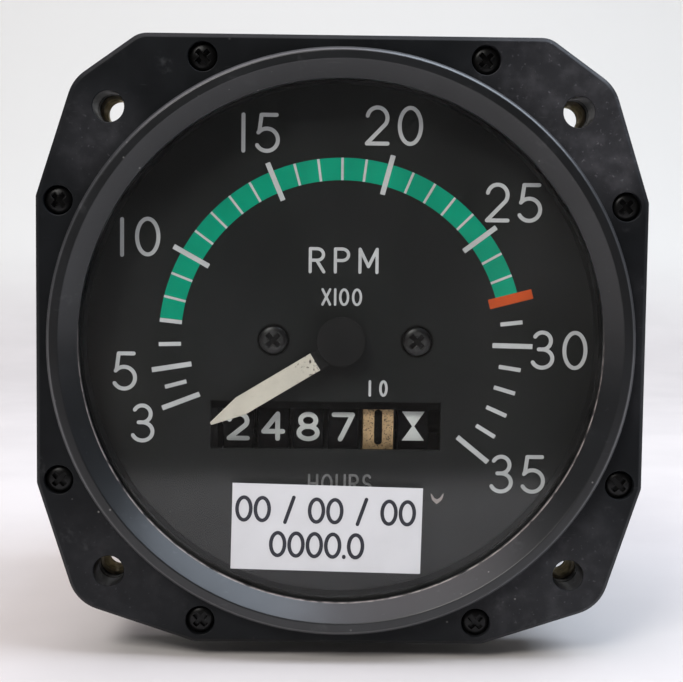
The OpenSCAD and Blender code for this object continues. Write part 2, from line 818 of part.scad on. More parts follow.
module hairspring() {
    steps_per_turn = 24;
    steps = spring_turns * steps_per_turn;
    start_r = collet_r + spring_t / 2 + fit_gap;
    spiral = [
        for (i = [0:steps])
            let (a = 360 * i / steps_per_turn)
            [start_r + (spring_r - start_r) * i / steps, a]
    ];
    edges = concat(
        [for (i = [0:steps]) (spiral[i][0] + spring_t / 2) * [cos(spiral[i][1]), sin(spiral[i][1])]],
        [for (i = [steps:-1:0]) (spiral[i][0] - spring_t / 2) * [cos(spiral[i][1]), sin(spiral[i][1])]]
    );
    color("#b08d57") plate(spring_y, spring_y + spring_w) polygon(edges);
}

module spring_stud() {
    end_angle = 360 * spring_turns;
    color(brass) rod_y(
        stud_r, mid_end, spring_y + spring_w + stud_lift, stud_at * cos(end_angle), stud_at * sin(end_angle)
    );
}

module drive_shaft() {
    color(bright_steel) difference() {
        turned([
            [0, magnet_y - end_gap], [shaft_r, magnet_y - end_gap], [shaft_r, journal_y],
            [drive_end_r, journal_y], [drive_end_r, drive_end_y], [0, drive_end_y]
        ]);
        translate([-square_w / 2, drive_end_y - square_l, -square_w / 2])
            cube([square_w, square_l + over, square_w]);
    }
}

module drive_worm() {
    color(bright_steel) translate([0, worm_y, 0]) rotate([-90, 0, 0])
        worm(drive_worm_r, wheel_module, shaft_r + fit_gap, 90, true);
}

module front_bush() {
    flange_t = 0.8;
    flange_w = 1;
    flange_r = front_bush_r + flange_w;
    bore_r = shaft_r + run_gap;
    color(brass) turned([
        [bore_r, rear_y - flange_t], [flange_r, rear_y - flange_t], [flange_r, rear_y],
        [front_bush_r, rear_y], [front_bush_r, rear_end], [bore_r, rear_end]
    ]);
}

module rear_bush() {
    bore_r = drive_end_r + run_gap;
    color(brass) turned([
        [bore_r, neck_y], [rear_bush_r, neck_y], [rear_bush_r, mouth_y], [bore_r, mouth_y]
    ]);
}

module cable_neck() {
    edge = 0.8;
    relief_w = 0.8;
    relief_depth = 0.6;
    relief_r = neck_r - relief_depth;
    relief_y = back_y + nut_t;
    seat_r = rear_bush_r + fit_gap;
    color(brass) turned([
        [seat_r, neck_y], [neck_flange_d / 2, neck_y], [neck_flange_d / 2, back_inner_y],
        [neck_r, back_inner_y], [neck_r, relief_y], [relief_r, relief_y],
        [relief_r, relief_y + relief_w], [neck_r, relief_y + relief_w],
        [neck_r, neck_end - edge], [neck_r - edge, neck_end],
        [neck_bore_d / 2, neck_end], [neck_bore_d / 2, mouth_y], [seat_r, mouth_y]
    ]);
}

module neck_nut() {
    color(bright_steel) plate(back_y, back_y + nut_t) difference() {
        circle(nut_af / 2 / cos(30), $fn = 6);
        circle(neck_r + fit_gap);
    }
}

module cross_shaft() {
    color(bright_steel) rod_x(
        gear_shaft_r, cross_left - shaft_end, cross_right + cross_bracket_t + shaft_end, worm_y, cross_z
    );
}

module cross_wheel() {
    color(brass) slice(-wheel_t / 2, wheel_t / 2, worm_y, cross_z)
        wheel_outline(cross_teeth, wheel_module, gear_shaft_r + fit_gap, 180);
}

module cross_worm() {
    color(bright_steel) translate([lay_x, worm_y, cross_z]) rotate([0, 90, 0])
        worm(cross_worm_r, wheel_module, gear_shaft_r + fit_gap, 0, false);
}

module cross_brackets() {
    length = worm_y + cross_bracket_half - rear_end;
    color(alloy) difference() {
        for (x = [cross_left, cross_right])
            translate([x, rear_end, cross_z - cross_bracket_half])
                cube([cross_bracket_t, length, 2 * cross_bracket_half]);
        rod_x(
            gear_shaft_r + run_gap, cross_left - over, cross_right + cross_bracket_t + over,
            worm_y, cross_z
        );
    }
}

module lay_shaft() {
    collar_wall = 0.9;
    collar_r = gear_shaft_r + collar_wall;
    collar_l = 1.5;
    side_gap = 0.2;
    front = counter_y - lay_worm_half - shaft_end;
    collar_y = mid_end + side_gap;
    end = worm_y + wheel_t / 2 + shaft_end;
    color(bright_steel) translate([lay_x, 0, lay_z]) turned([
        [0, front], [gear_shaft_r, front],
        [gear_shaft_r, collar_y], [collar_r, collar_y],
        [collar_r, collar_y + collar_l], [gear_shaft_r, collar_y + collar_l],
        [gear_shaft_r, end], [0, end]
    ]);
}

module lay_wheel() {
    color(brass) translate([lay_x, 0, lay_z]) plate(worm_y - wheel_t / 2, worm_y + wheel_t / 2)
        wheel_outline(lay_teeth, wheel_module, gear_shaft_r + fit_gap, 90);
}

module lay_worm() {
    color(bright_steel) translate([lay_x, counter_y, lay_z]) rotate([-90, 0, 0])
        worm(lay_worm_r, counter_module, gear_shaft_r + fit_gap, 270, true);
}

module counter_wheel() {
    hub_wall = 0.9;
    bore_r = counter_shaft_r + run_gap;
    hub_r = bore_r + hub_wall;
    color(brass) {
        slice(lay_x - wheel_t / 2, lay_x + wheel_t / 2, counter_y, counter_z)
            wheel_outline(counter_teeth, counter_module, bore_r, 0);
        slice(last_drum_edge, lay_x - wheel_t / 2, counter_y, counter_z) difference() {
            circle(hub_r);
            circle(bore_r);
        }
    }
}

module counter_shaft() {
    color(bright_steel)
        rod_x(counter_shaft_r, bracket_left, bracket_right + bracket_t, counter_y, counter_z);
}

module counter_brackets() {
    color(drum_black) difference() {
        for (x = [bracket_left, bracket_right])
            translate([x, front_end, bracket_low])
                cube([bracket_t, mid_y - front_end, bracket_high - bracket_low]);
        for (r = [[counter_shaft_r, counter_y, counter_z], [carrier_rod_d / 2, carrier_y, carrier_z]])
            rod_x(r[0] + fit_gap, bracket_left - over, bracket_right + bracket_t + over, r[1], r[2]);
    }
}

module carrier_rod() {
    color(drum_black)
        rod_x(carrier_rod_d / 2, bracket_left, bracket_right + bracket_t, carrier_y, carrier_z);
}

// Middle of the gap between drum k and the next drum to its right
function gap_x(k) = (drum_x[k] + drum_x[k + 1]) / 2;

module pinion_carriers() {
    color(alloy) for (k = [0:drum_count - 2])
        slice(gap_x(k) - carrier_t / 2, gap_x(k) + carrier_t / 2, counter_y, counter_z)
            rotate(90 + pinion_dir) difference() {
                union() {
                    translate([-carrier_half, -carrier_half])
                        square([2 * carrier_half + pinion_offset, 2 * carrier_half]);
                    translate([0, -carrier_tail_w / 2]) square([carrier_reach, carrier_tail_w]);
                    translate([carrier_reach, 0]) circle(carrier_eye_r);
                }
                circle(counter_shaft_r + fit_gap);
                translate([pinion_offset, 0]) circle(pinion_tip_r + run_gap);
                translate([carrier_reach, 0]) circle(carrier_rod_d / 2 + fit_gap);
            }
}

// Number drum k. Its right side has the internal gear that the next pinion turns, and its left
// side has the locking rim and the slots that turn the pinion of the drum to its left.
module number_drum(k) {
    x0 = drum_x[k] - drum_w / 2;
    x1 = drum_x[k] + drum_w / 2;
    pinion_at = 90 + pinion_dir;
    slots_at = pinion_at + figure_step * (transfer_figure - shown[k]);
    difference() {
        rod_x(drum_r, x0, x1, counter_y, counter_z);
        rod_x(counter_shaft_r + run_gap, x0 - over, x1 + over, counter_y, counter_z);
        slice(x1 - recess_l, x1 + over, counter_y, counter_z) difference() {
            if (k < drum_count - 1)
                polygon(tooth_points(
                    ring_teeth, ring_root_r, ring_tip_r, ring_root_w, ring_tip_w,
                    pinion_at + 180 / ring_teeth
                ));
            else
                circle(ring_root_r);
            circle(drum_hub_r);
        }
        slice(x0 - over, x0 + recess_l, counter_y, counter_z) difference() {
            union() {
                circle(k > 0 ? lock_r : ring_root_r);
                if (k > 0)
                    for (s = [-1, 0, 1])
                        rotate(slots_at + s * 360 / ring_teeth)
                            translate([0, -lock_slot_w / 2]) square([ring_root_r, lock_slot_w]);
            }
            circle(drum_hub_r);
        }
    }
}

module drum_thousands() { color(drum_black) number_drum(0); }
module drum_hundreds() { color(drum_black) number_drum(1); }
module drum_tens() { color(drum_black) number_drum(2); }
module drum_units() { color(drum_black) number_drum(3); }
module drum_tenths() { color(aged_cream) number_drum(4); }
module drum_running() { color(drum_black) number_drum(5); }

// Transfer pinion between drum k and the next drum to its right. Every second tooth stops at
// the carrier, so the two long teeth on either side of it ride on the locking rim.
module transfer_pinion(k) {
    x = gap_x(k);
    half = (drum_pitch - drum_web) / 2 - pinion_end_gap;
    tooth_at = 90 + pinion_dir;
    slice(x - half, x - carrier_t / 2, pinion_y, pinion_z)
        polygon(tooth_points(
            pinion_teeth, pinion_root_r, pinion_tip_r, pinion_root_w, pinion_tip_w, tooth_at
        ));
    slice(x - carrier_t / 2, x + carrier_t / 2, pinion_y, pinion_z) circle(pinion_tip_r);
    slice(x + carrier_t / 2, x + half, pinion_y, pinion_z)
        polygon(tooth_points(
            pinion_teeth / 2, pinion_root_r, pinion_tip_r, pinion_root_w, pinion_tip_w,
            tooth_at + 180 / (pinion_teeth / 2)
        ));
}

module pinion_thousands() { color(bright_steel) transfer_pinion(0); }
module pinion_hundreds() { color(bright_steel) transfer_pinion(1); }
module pinion_tens() { color(bright_steel) transfer_pinion(2); }
module pinion_units() { color(bright_steel) transfer_pinion(3); }
module pinion_tenths() { color(bright_steel) transfer_pinion(4); }

bezel();
bezel_screws();
glass_seal();
cover_glass();
service_label();
spacer_ring();
dial();
dial_screws();
case();
mount_inserts();
front_plate();
mid_plate();
rear_plate();
tie_screws();
spacer_sleeves();
pointer();
pointer_hub();
pointer_staff();
front_jewel();
mid_jewel();
drag_cup();
field_ring();
magnet();
spring_collet();
hairspring();
spring_stud();
drive_shaft();
drive_worm();
front_bush();
rear_bush();
cable_neck();
neck_nut();
cross_shaft();
cross_wheel();
cross_worm();
cross_brackets();
lay_shaft();
lay_wheel();
lay_worm();
counter_shaft();
counter_brackets();
carrier_rod();
pinion_carriers();
counter_wheel();
drum_thousands();
drum_hundreds();
drum_tens();
drum_units();
drum_tenths();
drum_running();
pinion_thousands();
pinion_hundreds();
pinion_tens();
pinion_units();
pinion_tenths();
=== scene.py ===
"""Looks of a panel-mounted aircraft tachometer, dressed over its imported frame.

Every piece is in metres and in the frame's own axes: +X to the right, +Y into the panel, +Z up.
Finishes measure their patterns in millimetres.
"""
import json
import logging
import math
from collections.abc import Callable, Sequence
from dataclasses import dataclass, field, replace
from enum import Enum

import bmesh
import bpy
from mathutils import Matrix, Vector


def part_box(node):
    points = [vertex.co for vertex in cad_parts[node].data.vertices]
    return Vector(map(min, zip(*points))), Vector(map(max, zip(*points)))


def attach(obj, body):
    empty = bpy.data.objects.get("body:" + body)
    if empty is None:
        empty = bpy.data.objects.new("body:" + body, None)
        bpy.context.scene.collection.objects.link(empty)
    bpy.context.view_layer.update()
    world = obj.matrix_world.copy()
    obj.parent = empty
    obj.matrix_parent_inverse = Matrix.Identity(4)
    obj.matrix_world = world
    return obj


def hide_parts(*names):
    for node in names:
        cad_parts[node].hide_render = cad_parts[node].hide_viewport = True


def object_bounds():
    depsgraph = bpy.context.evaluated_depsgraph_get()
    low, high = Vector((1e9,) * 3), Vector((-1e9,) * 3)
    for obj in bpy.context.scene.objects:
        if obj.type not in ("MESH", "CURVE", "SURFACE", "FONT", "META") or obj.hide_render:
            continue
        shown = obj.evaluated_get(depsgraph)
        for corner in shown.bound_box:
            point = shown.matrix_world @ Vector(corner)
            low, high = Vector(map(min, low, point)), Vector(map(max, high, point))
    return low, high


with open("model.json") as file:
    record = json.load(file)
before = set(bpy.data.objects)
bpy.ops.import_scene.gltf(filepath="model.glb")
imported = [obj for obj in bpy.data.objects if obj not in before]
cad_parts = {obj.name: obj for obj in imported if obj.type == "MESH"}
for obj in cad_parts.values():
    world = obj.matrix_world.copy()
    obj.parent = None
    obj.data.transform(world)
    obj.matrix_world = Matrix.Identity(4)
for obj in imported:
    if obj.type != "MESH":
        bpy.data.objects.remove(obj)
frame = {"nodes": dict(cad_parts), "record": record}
CAD_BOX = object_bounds()

log = logging.getLogger("tachometer")

MM = 0.001
ARC_STEP = 9.0
SAME_SPOT = 1e-6
CAP_TURN = math.radians(86)
MITRE_LIMIT = 0.6
WELD_REACH = 0.001 * MM
FLAT_ANGLE = math.radians(0.2)
EDGE_ANGLE = math.radians(28)
EDGE_SEGMENTS = 2
NORMAL_WEIGHT = 80
SPECK_DRAW = (0.62, 0.7)
SPECK_CORE = 0.5

Colour = tuple[float, float, float]
Point = tuple[float, float]
Span = tuple[float, float]
Faces = list[tuple[int, ...]]
Strip = list[tuple[Vector, Vector]]
Place = Callable[[float, float, float], Vector]


class Signal:
    """A shader value that takes part in Python expressions."""

    def __init__(self, graph: "Graph", socket: bpy.types.NodeSocket) -> None:
        """Keeps the socket and the graph that it belongs to."""
        self.graph = graph
        self.socket = socket

    def _math(self, operation: str, first: "Operand", second: "Operand") -> "Signal":
        """Adds one Math node.

        Args:
            operation: Name of the Math node's operation.
            first: Value or number on the first socket.
            second: Value or number on the second socket.

        Returns:
            The node's result.
        """
        node = self.graph.node("ShaderNodeMath", {"operation": operation}, {0: first, 1: second})
        return Signal(self.graph, node.outputs[0])

    def __add__(self, other: "Operand") -> "Signal":
        """Adds a value or a number."""
        return self._math("ADD", self, other)

    def __radd__(self, other: "Operand") -> "Signal":
        """Adds this value to a number."""
        return self._math("ADD", other, self)

    def __sub__(self, other: "Operand") -> "Signal":
        """Takes a value or a number away."""
        return self._math("SUBTRACT", self, other)

    def __rsub__(self, other: "Operand") -> "Signal":
        """Takes this value away from a number."""
        return self._math("SUBTRACT", other, self)

    def __mul__(self, other: "Operand") -> "Signal":
        """Multiplies by a value or a number."""
        return self._math("MULTIPLY", self, other)

    def __rmul__(self, other: "Operand") -> "Signal":
        """Multiplies a number by this value."""
        return self._math("MULTIPLY", other, self)

    def __pow__(self, other: "Operand") -> "Signal":
        """Raises this value to a power."""
        return self._math("POWER", self, other)

    def __abs__(self) -> "Signal":
        """The value without its sign."""
        return self._math("ABSOLUTE", self, 0.0)

    def rise(self, low: float, high: float) -> "Signal":
        """A smooth step over the value.

        Args:
            low: Where the step starts, at 0.
            high: Where the step ends, at 1. It may lie under low, for a step that falls.

        Returns:
            The step, from 0 to 1.
        """
        flipped = high < low
        node = self.graph.node("ShaderNodeMapRange", {"interpolation_type": "SMOOTHSTEP"}, {
            0: self,
            1: min(low, high),
            2: max(low, high),
            3: float(flipped),
            4: float(not flipped),
        })
        return Signal(self.graph, node.outputs[0])


Operand = Signal | float


class Graph:
    """The node tree of one material."""

    def __init__(self, name: str) -> None:
        """Starts an empty material and finds the surface's own place in millimetres.

        Args:
            name: The material's name.
        """
        self.material = bpy.data.materials.new(name)
        self.material.use_nodes = True
        self.tree = self.material.node_tree
        self.tree.nodes.clear()
        own = self.node("ShaderNodeTexCoord").outputs["Object"]
        scaled = self.node(
            "ShaderNodeVectorMath", {"operation": "SCALE"}, {0: own, "Scale": 1 / MM}
        )
        self.place = scaled.outputs[0]

    def node(
        self, kind: str, settings: dict[str, object] | None = None,
        sockets: dict[int | str, object] | None = None,
    ) -> bpy.types.Node:
        """Adds one node.

        Args:
            kind: The node's type.
            settings: The node's own settings, which are set first.
            sockets: Values or links by the input's number, name or identifier.

        Returns:
            The new node.
        """
        made = self.tree.nodes.new(kind)
        for setting, value in (settings or {}).items():
            setattr(made, setting, value)
        for key, value in (sockets or {}).items():
            named = [s for s in made.inputs if key in (s.identifier, s.name)]
            self.plug(made.inputs[key] if isinstance(key, int) else named[0], value)
        return made

    def plug(self, socket: bpy.types.NodeSocket, value: object) -> None:
        """Links a value to an input, or sets the input.

        Args:
            socket: The input.
            value: A signal, an output, a number, a colour or a vector.
        """
        source = value.socket if isinstance(value, Signal) else value
        if isinstance(source, bpy.types.NodeSocket):
            self.tree.links.new(source, socket)
        elif isinstance(source, tuple) and socket.type == "RGBA":
            socket.default_value = (*source, 1.0)
        else:
            socket.default_value = source

    def axes(self) -> tuple[Signal, Signal, Signal]:
        """The surface's place along X, Y and Z, in millimetres."""
        parts = self.node("ShaderNodeSeparateXYZ", None, {0: self.place})
        return tuple(Signal(self, s) for s in parts.outputs)

    def off_axis(self) -> Signal:
        """Distance from the dial axis, in millimetres."""
        x, _, z = self.axes()
        return (x ** 2.0 + z ** 2.0) ** 0.5

    def noise(
        self, size: float, detail: float = 2.0, stretch: Colour = (1.0, 1.0, 1.0)
    ) -> Signal:
        """Soft random blotches.

        Args:
            size: Size of a blotch in millimetres.
            detail: How many finer layers are added.
            stretch: Factors on the place along X, Y and Z.

        Returns:
            The noise, around 0.5.
        """
        place = self.node(
            "ShaderNodeVectorMath", {"operation": "MULTIPLY"}, {0: self.place, 1: stretch}
        )
        made = self.node("ShaderNodeTexNoise", None, {
            "Vector": place.outputs[0], "Scale": 1 / size, "Detail": detail,
        })
        return Signal(self, made.outputs[0])

    def specks(self, spacing: float, radius: float) -> Signal:
        """Round specks, of which about a third show.

        Args:
            spacing: Distance between the places of specks, in millimetres.
            radius: Largest radius of a speck, as a share of the spacing.

        Returns:
            1 on a speck and 0 beside it.
        """
        cells = self.node(
            "ShaderNodeTexVoronoi", None, {"Vector": self.place, "Scale": 1 / spacing}
        )
        distance = Signal(self, cells.outputs["Distance"])
        parts = self.node("ShaderNodeSeparateColor", None, {0: cells.outputs["Color"]})
        chosen = Signal(self, parts.outputs[0]).rise(*SPECK_DRAW)
        return distance.rise(radius, SPECK_CORE * radius) * chosen

    def mix(self, share: Operand, first: object, second: object) -> bpy.types.NodeSocket:
        """Blends two colours.

        Args:
            share: 0 for the first colour and 1 for the second.
            first: A colour or a link.
            second: A colour or a link.

        Returns:
            The blended colour.
        """
        made = self.node("ShaderNodeMix", {"data_type": "RGBA"}, {
            "Factor_Float": share, "A_Color": first, "B_Color": second,
        })
        return next(s for s in made.outputs if s.identifier == "Result_Color")

    def blend(
        self, share: Operand, first: bpy.types.Node, second: bpy.types.Node
    ) -> bpy.types.Node:
        """Blends two shaders, from the first at 0 to the second at 1."""
        sockets = {0: share, 1: first.outputs[0], 2: second.outputs[0]}
        return self.node("ShaderNodeMixShader", None, sockets)

    def bump(self, height: Signal, depth: float) -> bpy.types.NodeSocket:
        """A normal from a height of 0 to 1, which stands for depth in metres."""
        return self.node("ShaderNodeBump", None, {"Height": height, "Distance": depth}).outputs[0]

    def finish(self, shader: bpy.types.Node) -> bpy.types.Material:
        """Links the shader to the material's output.

        Args:
            shader: The shader's node.

        Returns:
            The finished material.
        """
        output = self.node("ShaderNodeOutputMaterial")
        self.tree.links.new(shader.outputs[0], output.inputs["Surface"])
        return self.material


@dataclass(frozen=True)
class Mottle:
    """Noise that shows in places only, from low, where it is 0, to high, where it is 1."""

    size: float
    low: float
    high: float
    detail: float = 2.0
    stretch: Colour = (1.0, 1.0, 1.0)

    def on(self, graph: Graph) -> Signal:
        """The mottle on a material's surface."""
        return graph.noise(self.size, self.detail, self.stretch).rise(self.low, self.high)


@dataclass
class Skin:
    """What varies over a surface."""

    colour: object
    roughness: Operand
    height: Signal
    coat: Operand = 0.0


@dataclass(frozen=True)
class Finish:
    """A surface whose colour and roughness drift, with a fine grain."""

    colour: Colour
    roughness: float = 0.5
    metallic: float = 0.0
    drift: float = 0.2
    drift_size: float = 7.0
    drift_span: Span = (0.3, 0.7)
    drift_detail: float = 4.0
    dull_least: float = 0.85
    dull_swing: float = 0.3
    dull_finer: float = 3.0
    dull_detail: float = 3.0
    grain_size: float = 0.25
    grain_depth: float = 0.008 * MM
    grain_stretch: Colour = (1.0, 1.0, 1.0)
    specular: float = 0.5
    coat_roughness: float = 0.2

    def skin(self, graph: Graph) -> Skin:
        """The drifting colour and roughness, and the grain.

        Args:
            graph: The material's graph.

        Returns:
            The surface's skin.
        """
        cloud = Mottle(self.drift_size, *self.drift_span, self.drift_detail).on(graph)
        dark = tuple(c * (1 - self.drift) for c in self.colour)
        light = tuple(min(1.0, c * (1 + self.drift)) for c in self.colour)
        patchy = graph.noise(self.drift_size / self.dull_finer, self.dull_detail)
        return Skin(
            colour=graph.mix(cloud, dark, light),
            roughness=self.roughness * (self.dull_least + self.dull_swing * patchy),
            height=graph.noise(self.grain_size, stretch=self.grain_stretch),
        )

    def material(self, name: str) -> bpy.types.Material:
        """Builds the finish as a material.

        Args:
            name: The material's name.

        Returns:
            The material.
        """
        graph = Graph(name)
        skin = self.skin(graph)
        shader = graph.node("ShaderNodeBsdfPrincipled", None, {
            "Base Color": skin.colour,
            "Roughness": skin.roughness,
            "Metallic": self.metallic,
            "Specular IOR Level": self.specular,
            "Coat Weight": skin.coat,
            "Coat Roughness": self.coat_roughness,
            "Normal": graph.bump(skin.height, self.grain_depth),
        })
        return graph.finish(shader)


@dataclass(frozen=True)
class MouldedBlack(Finish):
    """Satin black moulding with scuffs, short scratches and light dust."""

    scuff: Colour = (0.05, 0.051, 0.053)
    scuffs: Mottle = Mottle(5.0, 0.56, 0.74, 5.0)
    scuff_grain: Mottle = Mottle(0.7, 0.42, 0.7, 3.0)
    scuff_share: float = 0.55
    scuff_dull: float = 0.12
    scratches: Mottle = Mottle(0.5, 0.68, 0.76, stretch=(0.12, 1.0, 1.0))
    scratch_share: float = 0.3
    dust: Colour = (0.32, 0.31, 0.3)
    dust_specks: tuple[float, float] = (1.9, 0.1)
    dust_lies: Mottle = Mottle(9.0, 0.46, 0.6)
    dust_share: float = 0.5

    def skin(self, graph: Graph) -> Skin:
        """Adds rubbed patches, short scratches and dust to the plain moulding.

        Args:
            graph: The material's graph.

        Returns:
            The surface's skin.
        """
        skin = super().skin(graph)
        rubbed = self.scuffs.on(graph) * self.scuff_grain.on(graph)
        wear = self.scuff_share * rubbed + self.scratch_share * self.scratches.on(graph)
        worn = graph.mix(wear, skin.colour, self.scuff)
        dust = graph.specks(*self.dust_specks) * self.dust_lies.on(graph)
        return replace(
            skin,
            colour=graph.mix(self.dust_share * dust, worn, self.dust),
            roughness=skin.roughness + self.scuff_dull * rubbed,
        )


@dataclass(frozen=True)
class RingMoulding(MouldedBlack):
    """The bezel's moulding, with a polished ring whose two edges carry rubbed wear and a painted
    highlight.

    rim and foot are the edges' radius and half width. Each patch is a scuffed place on the
    flange: X and Z of its middle, its reach and its strength.
    """

    ring_r: float = 39.6
    ring_edge: float = 0.1
    ring_smooth: float = 0.7
    polish_r: Span = (39.3, 39.1)
    front_y: Span = (0.4, 0.1)
    break_size: float = 1.6
    break_detail: float = 4.0
    # The rim line at the ring's outer edge is partly rubbed wear, partly a painted highlight.
    rim: tuple[float, float] = (39.2, 0.26)
    rim_core: float = 0.7
    rim_least: float = 0.5
    rim_share: float = 0.16
    rub: Colour = (0.2, 0.2, 0.21)
    # The lip line at the glass is partly chafed paint, partly a painted highlight kept to the lower
    # half.
    foot: tuple[float, float] = (35.5, 0.14)
    foot_core: float = 0.3
    foot_breaks: Span = (0.3, 0.6)
    foot_z: Span = (6.0, -10.0)
    foot_share: float = 0.8
    chafed: Colour = (0.4, 0.35, 0.33)
    pale: Colour = (0.12, 0.117, 0.127)
    patches: tuple[tuple[float, float, float, float], ...] = (
        (31.0, 32.0, 20.0, 0.62), (36.0, 24.0, 7.0, 0.3), (-32.5, 27.0, 9.0, 0.4),
        (29.0, -32.0, 18.0, 0.42), (-30.0, -31.0, 15.0, 0.24), (39.5, 0.0, 14.0, 0.25),
    )
    patch_core: float = 0.2
    patch_share: float = 0.6
    patch_least: float = 0.42
    blotches: Mottle = Mottle(2.6, 0.4, 0.75, 5.0)
    blotch_share: float = 0.5
    flecks: Mottle = Mottle(0.6, 0.62, 0.72, 3.0)

    def skin(self, graph: Graph) -> Skin:
        """Adds the scuffed patches, the two rubbed edges with their painted highlights and the
        ring's polish.

        Args:
            graph: The material's graph.

        Returns:
            The surface's skin.
        """
        skin = super().skin(graph)
        radius = graph.off_axis()
        x, depth, z = graph.axes()
        ring = radius.rise(self.ring_r + self.ring_edge, self.ring_r - self.ring_edge)
        front = depth.rise(*self.front_y)

        scuffed = 0.0
        for across, up, reach, strength in self.patches:
            away = ((x - across) ** 2.0 + (z - up) ** 2.0) ** 0.5
            scuffed = strength * away.rise(reach, self.patch_core * reach) + scuffed
        mottled = self.patch_least + self.blotch_share * self.blotches.on(graph)
        scuffed = self.patch_share * scuffed * (mottled + self.flecks.on(graph)) * (1 - ring)

        broken = graph.noise(self.break_size, self.break_detail)
        # Pale rim line: partly rubbed wear, partly a painted highlight along the outer bevel.
        rim = abs(radius - self.rim[0]).rise(self.rim[1], self.rim_core * self.rim[1])
        rim = self.rim_share * rim * (self.rim_least + broken) * front
        foot = abs(radius - self.foot[0]).rise(self.foot[1], self.foot_core * self.foot[1])
        foot = self.foot_share * foot * broken.rise(*self.foot_breaks) * front

        rubbed = graph.mix(rim, graph.mix(scuffed, skin.colour, self.pale), self.rub)
        # The lip line shows on the lower half only: partly chafed paint, partly a painted highlight
        # of light from above.
        return replace(
            skin,
            colour=graph.mix(foot * z.rise(*self.foot_z), rubbed, self.chafed),
            height=skin.height * (1 - self.ring_smooth * ring),
            coat=radius.rise(*self.polish_r),
        )


@dataclass(frozen=True)
class DialPaint(Finish):
    """Matt black dial paint with a few pale specks."""

    speck: Colour = (0.3, 0.29, 0.27)
    specks: tuple[float, float] = (5.5, 0.035)
    speck_share: float = 0.6

    def skin(self, graph: Graph) -> Skin:
        """Adds the specks to the plain paint.

        Args:
            graph: The material's graph.

        Returns:
            The surface's skin.
        """
        skin = super().skin(graph)
        specks = self.speck_share * graph.specks(*self.specks)
        return replace(skin, colour=graph.mix(specks, skin.colour, self.speck))


@dataclass(frozen=True)
class WornScrew(Finish):
    """A worn black head with painted shade in its recess."""

    face: float = 0.0
    well: Colour = (0.003, 0.003, 0.003)
    well_depth: Span = (0.06, 0.16)

    def skin(self, graph: Graph) -> Skin:
        """Darkens what lies deeper than the head's face, as painted shade in the recess.

        Args:
            graph: The material's graph.

        Returns:
            The surface's skin.
        """
        skin = super().skin(graph)
        _, y, _ = graph.axes()
        # Painted shade: the recess darkens with depth below the head's face.
        deep = (y - self.face / MM).rise(*self.well_depth)
        return replace(skin, colour=graph.mix(deep, skin.colour, self.well))


@dataclass(frozen=True)
class PointerPaint(Finish):
    """Cream paint, chipped near its straight inner end, with a black root."""

    rest_angle: float = math.radians(211.3)
    chip: Colour = (0.06, 0.05, 0.04)
    chips: Mottle = Mottle(0.5, 0.58, 0.66, 3.0)
    chip_reach: float = 9.0
    chip_least: float = 0.06
    chip_depth: float = 0.5
    root: Colour = (0.0105, 0.0108, 0.0106)
    root_l: float = 4.5
    root_edge: float = 0.04

    def skin(self, graph: Graph) -> Skin:
        """Adds the chips, which thin out along the blade, and the black root.

        Args:
            graph: The material's graph.

        Returns:
            The surface's skin.
        """
        skin = super().skin(graph)
        x, _, z = graph.axes()
        along = math.cos(self.rest_angle) * x + math.sin(self.rest_angle) * z
        near = along.rise(self.chip_reach, self.root_l)
        chips = self.chips.on(graph) * (self.chip_least + (1 - self.chip_least) * near)
        chipped = graph.mix(chips, skin.colour, self.chip)
        rooted = along.rise(self.root_l + self.root_edge, self.root_l - self.root_edge)
        return replace(
            skin,
            colour=graph.mix(rooted, chipped, self.root),
            height=skin.height - self.chip_depth * chips,
        )


@dataclass(frozen=True)
class AgedPlastic(Finish):
    """Cream plastic that has browned in blotches."""

    stain: Colour = (0.16, 0.1, 0.04)
    stains: Mottle = Mottle(1.1, 0.48, 0.72, 5.0)
    stain_share: float = 0.45
    fleck: Colour = (0.03, 0.02, 0.012)
    flecks: Mottle = Mottle(0.26, 0.57, 0.64)
    fleck_share: float = 0.8

    def skin(self, graph: Graph) -> Skin:
        """Adds brown blotches and fine specks.

        Args:
            graph: The material's graph.

        Returns:
            The surface's skin.
        """
        skin = super().skin(graph)
        stained = graph.mix(self.stain_share * self.stains.on(graph), skin.colour, self.stain)
        flecks = self.fleck_share * self.flecks.on(graph)
        return replace(skin, colour=graph.mix(flecks, stained, self.fleck))


@dataclass(frozen=True)
class FadingCard(Finish):
    """A plain sheet whose colour changes upwards."""

    top: Colour = (0.03, 0.028, 0.026)
    fade: Span = (-30.0, 70.0)

    def skin(self, graph: Graph) -> Skin:
        """Adds the fade to the plain sheet.

        Args:
            graph: The material's graph.

        Returns:
            The surface's skin.
        """
        skin = super().skin(graph)
        _, _, z = graph.axes()
        return replace(skin, colour=graph.mix(z.rise(*self.fade), skin.colour, self.top))


@dataclass(frozen=True)
class ClearGlass:
    """Flat glass that lets light through and mirrors a little of the room."""

    tint: Colour = (0.985, 0.99, 0.988)
    roughness: float = 0.1
    shine: float = 0.029
    slant_power: float = 5.0
    smear: Colour = (0.5, 0.5, 0.5)
    smears: Mottle = Mottle(14.0, 0.35, 0.75, 4.0, (1.0, 1.0, 0.5))
    smear_share: float = 0.005

    def material(self, name: str) -> bpy.types.Material:
        """Builds the glass as a blend of clear and mirror, with a thin film of haze.

        Args:
            name: The material's name.

        Returns:
            The material.
        """
        graph = Graph(name)
        clear = graph.node("ShaderNodeBsdfTransparent", None, {"Color": self.tint})
        mirror = graph.node("ShaderNodeBsdfGlossy", None, {"Roughness": self.roughness})
        haze = graph.node("ShaderNodeBsdfDiffuse", None, {"Color": self.smear})
        slant = Signal(graph, graph.node("ShaderNodeLayerWeight").outputs["Facing"])
        gloss = self.shine + (1 - self.shine) * slant ** self.slant_power
        glazed = graph.blend(gloss, clear, mirror)
        return graph.finish(graph.blend(self.smear_share * self.smears.on(graph), glazed, haze))


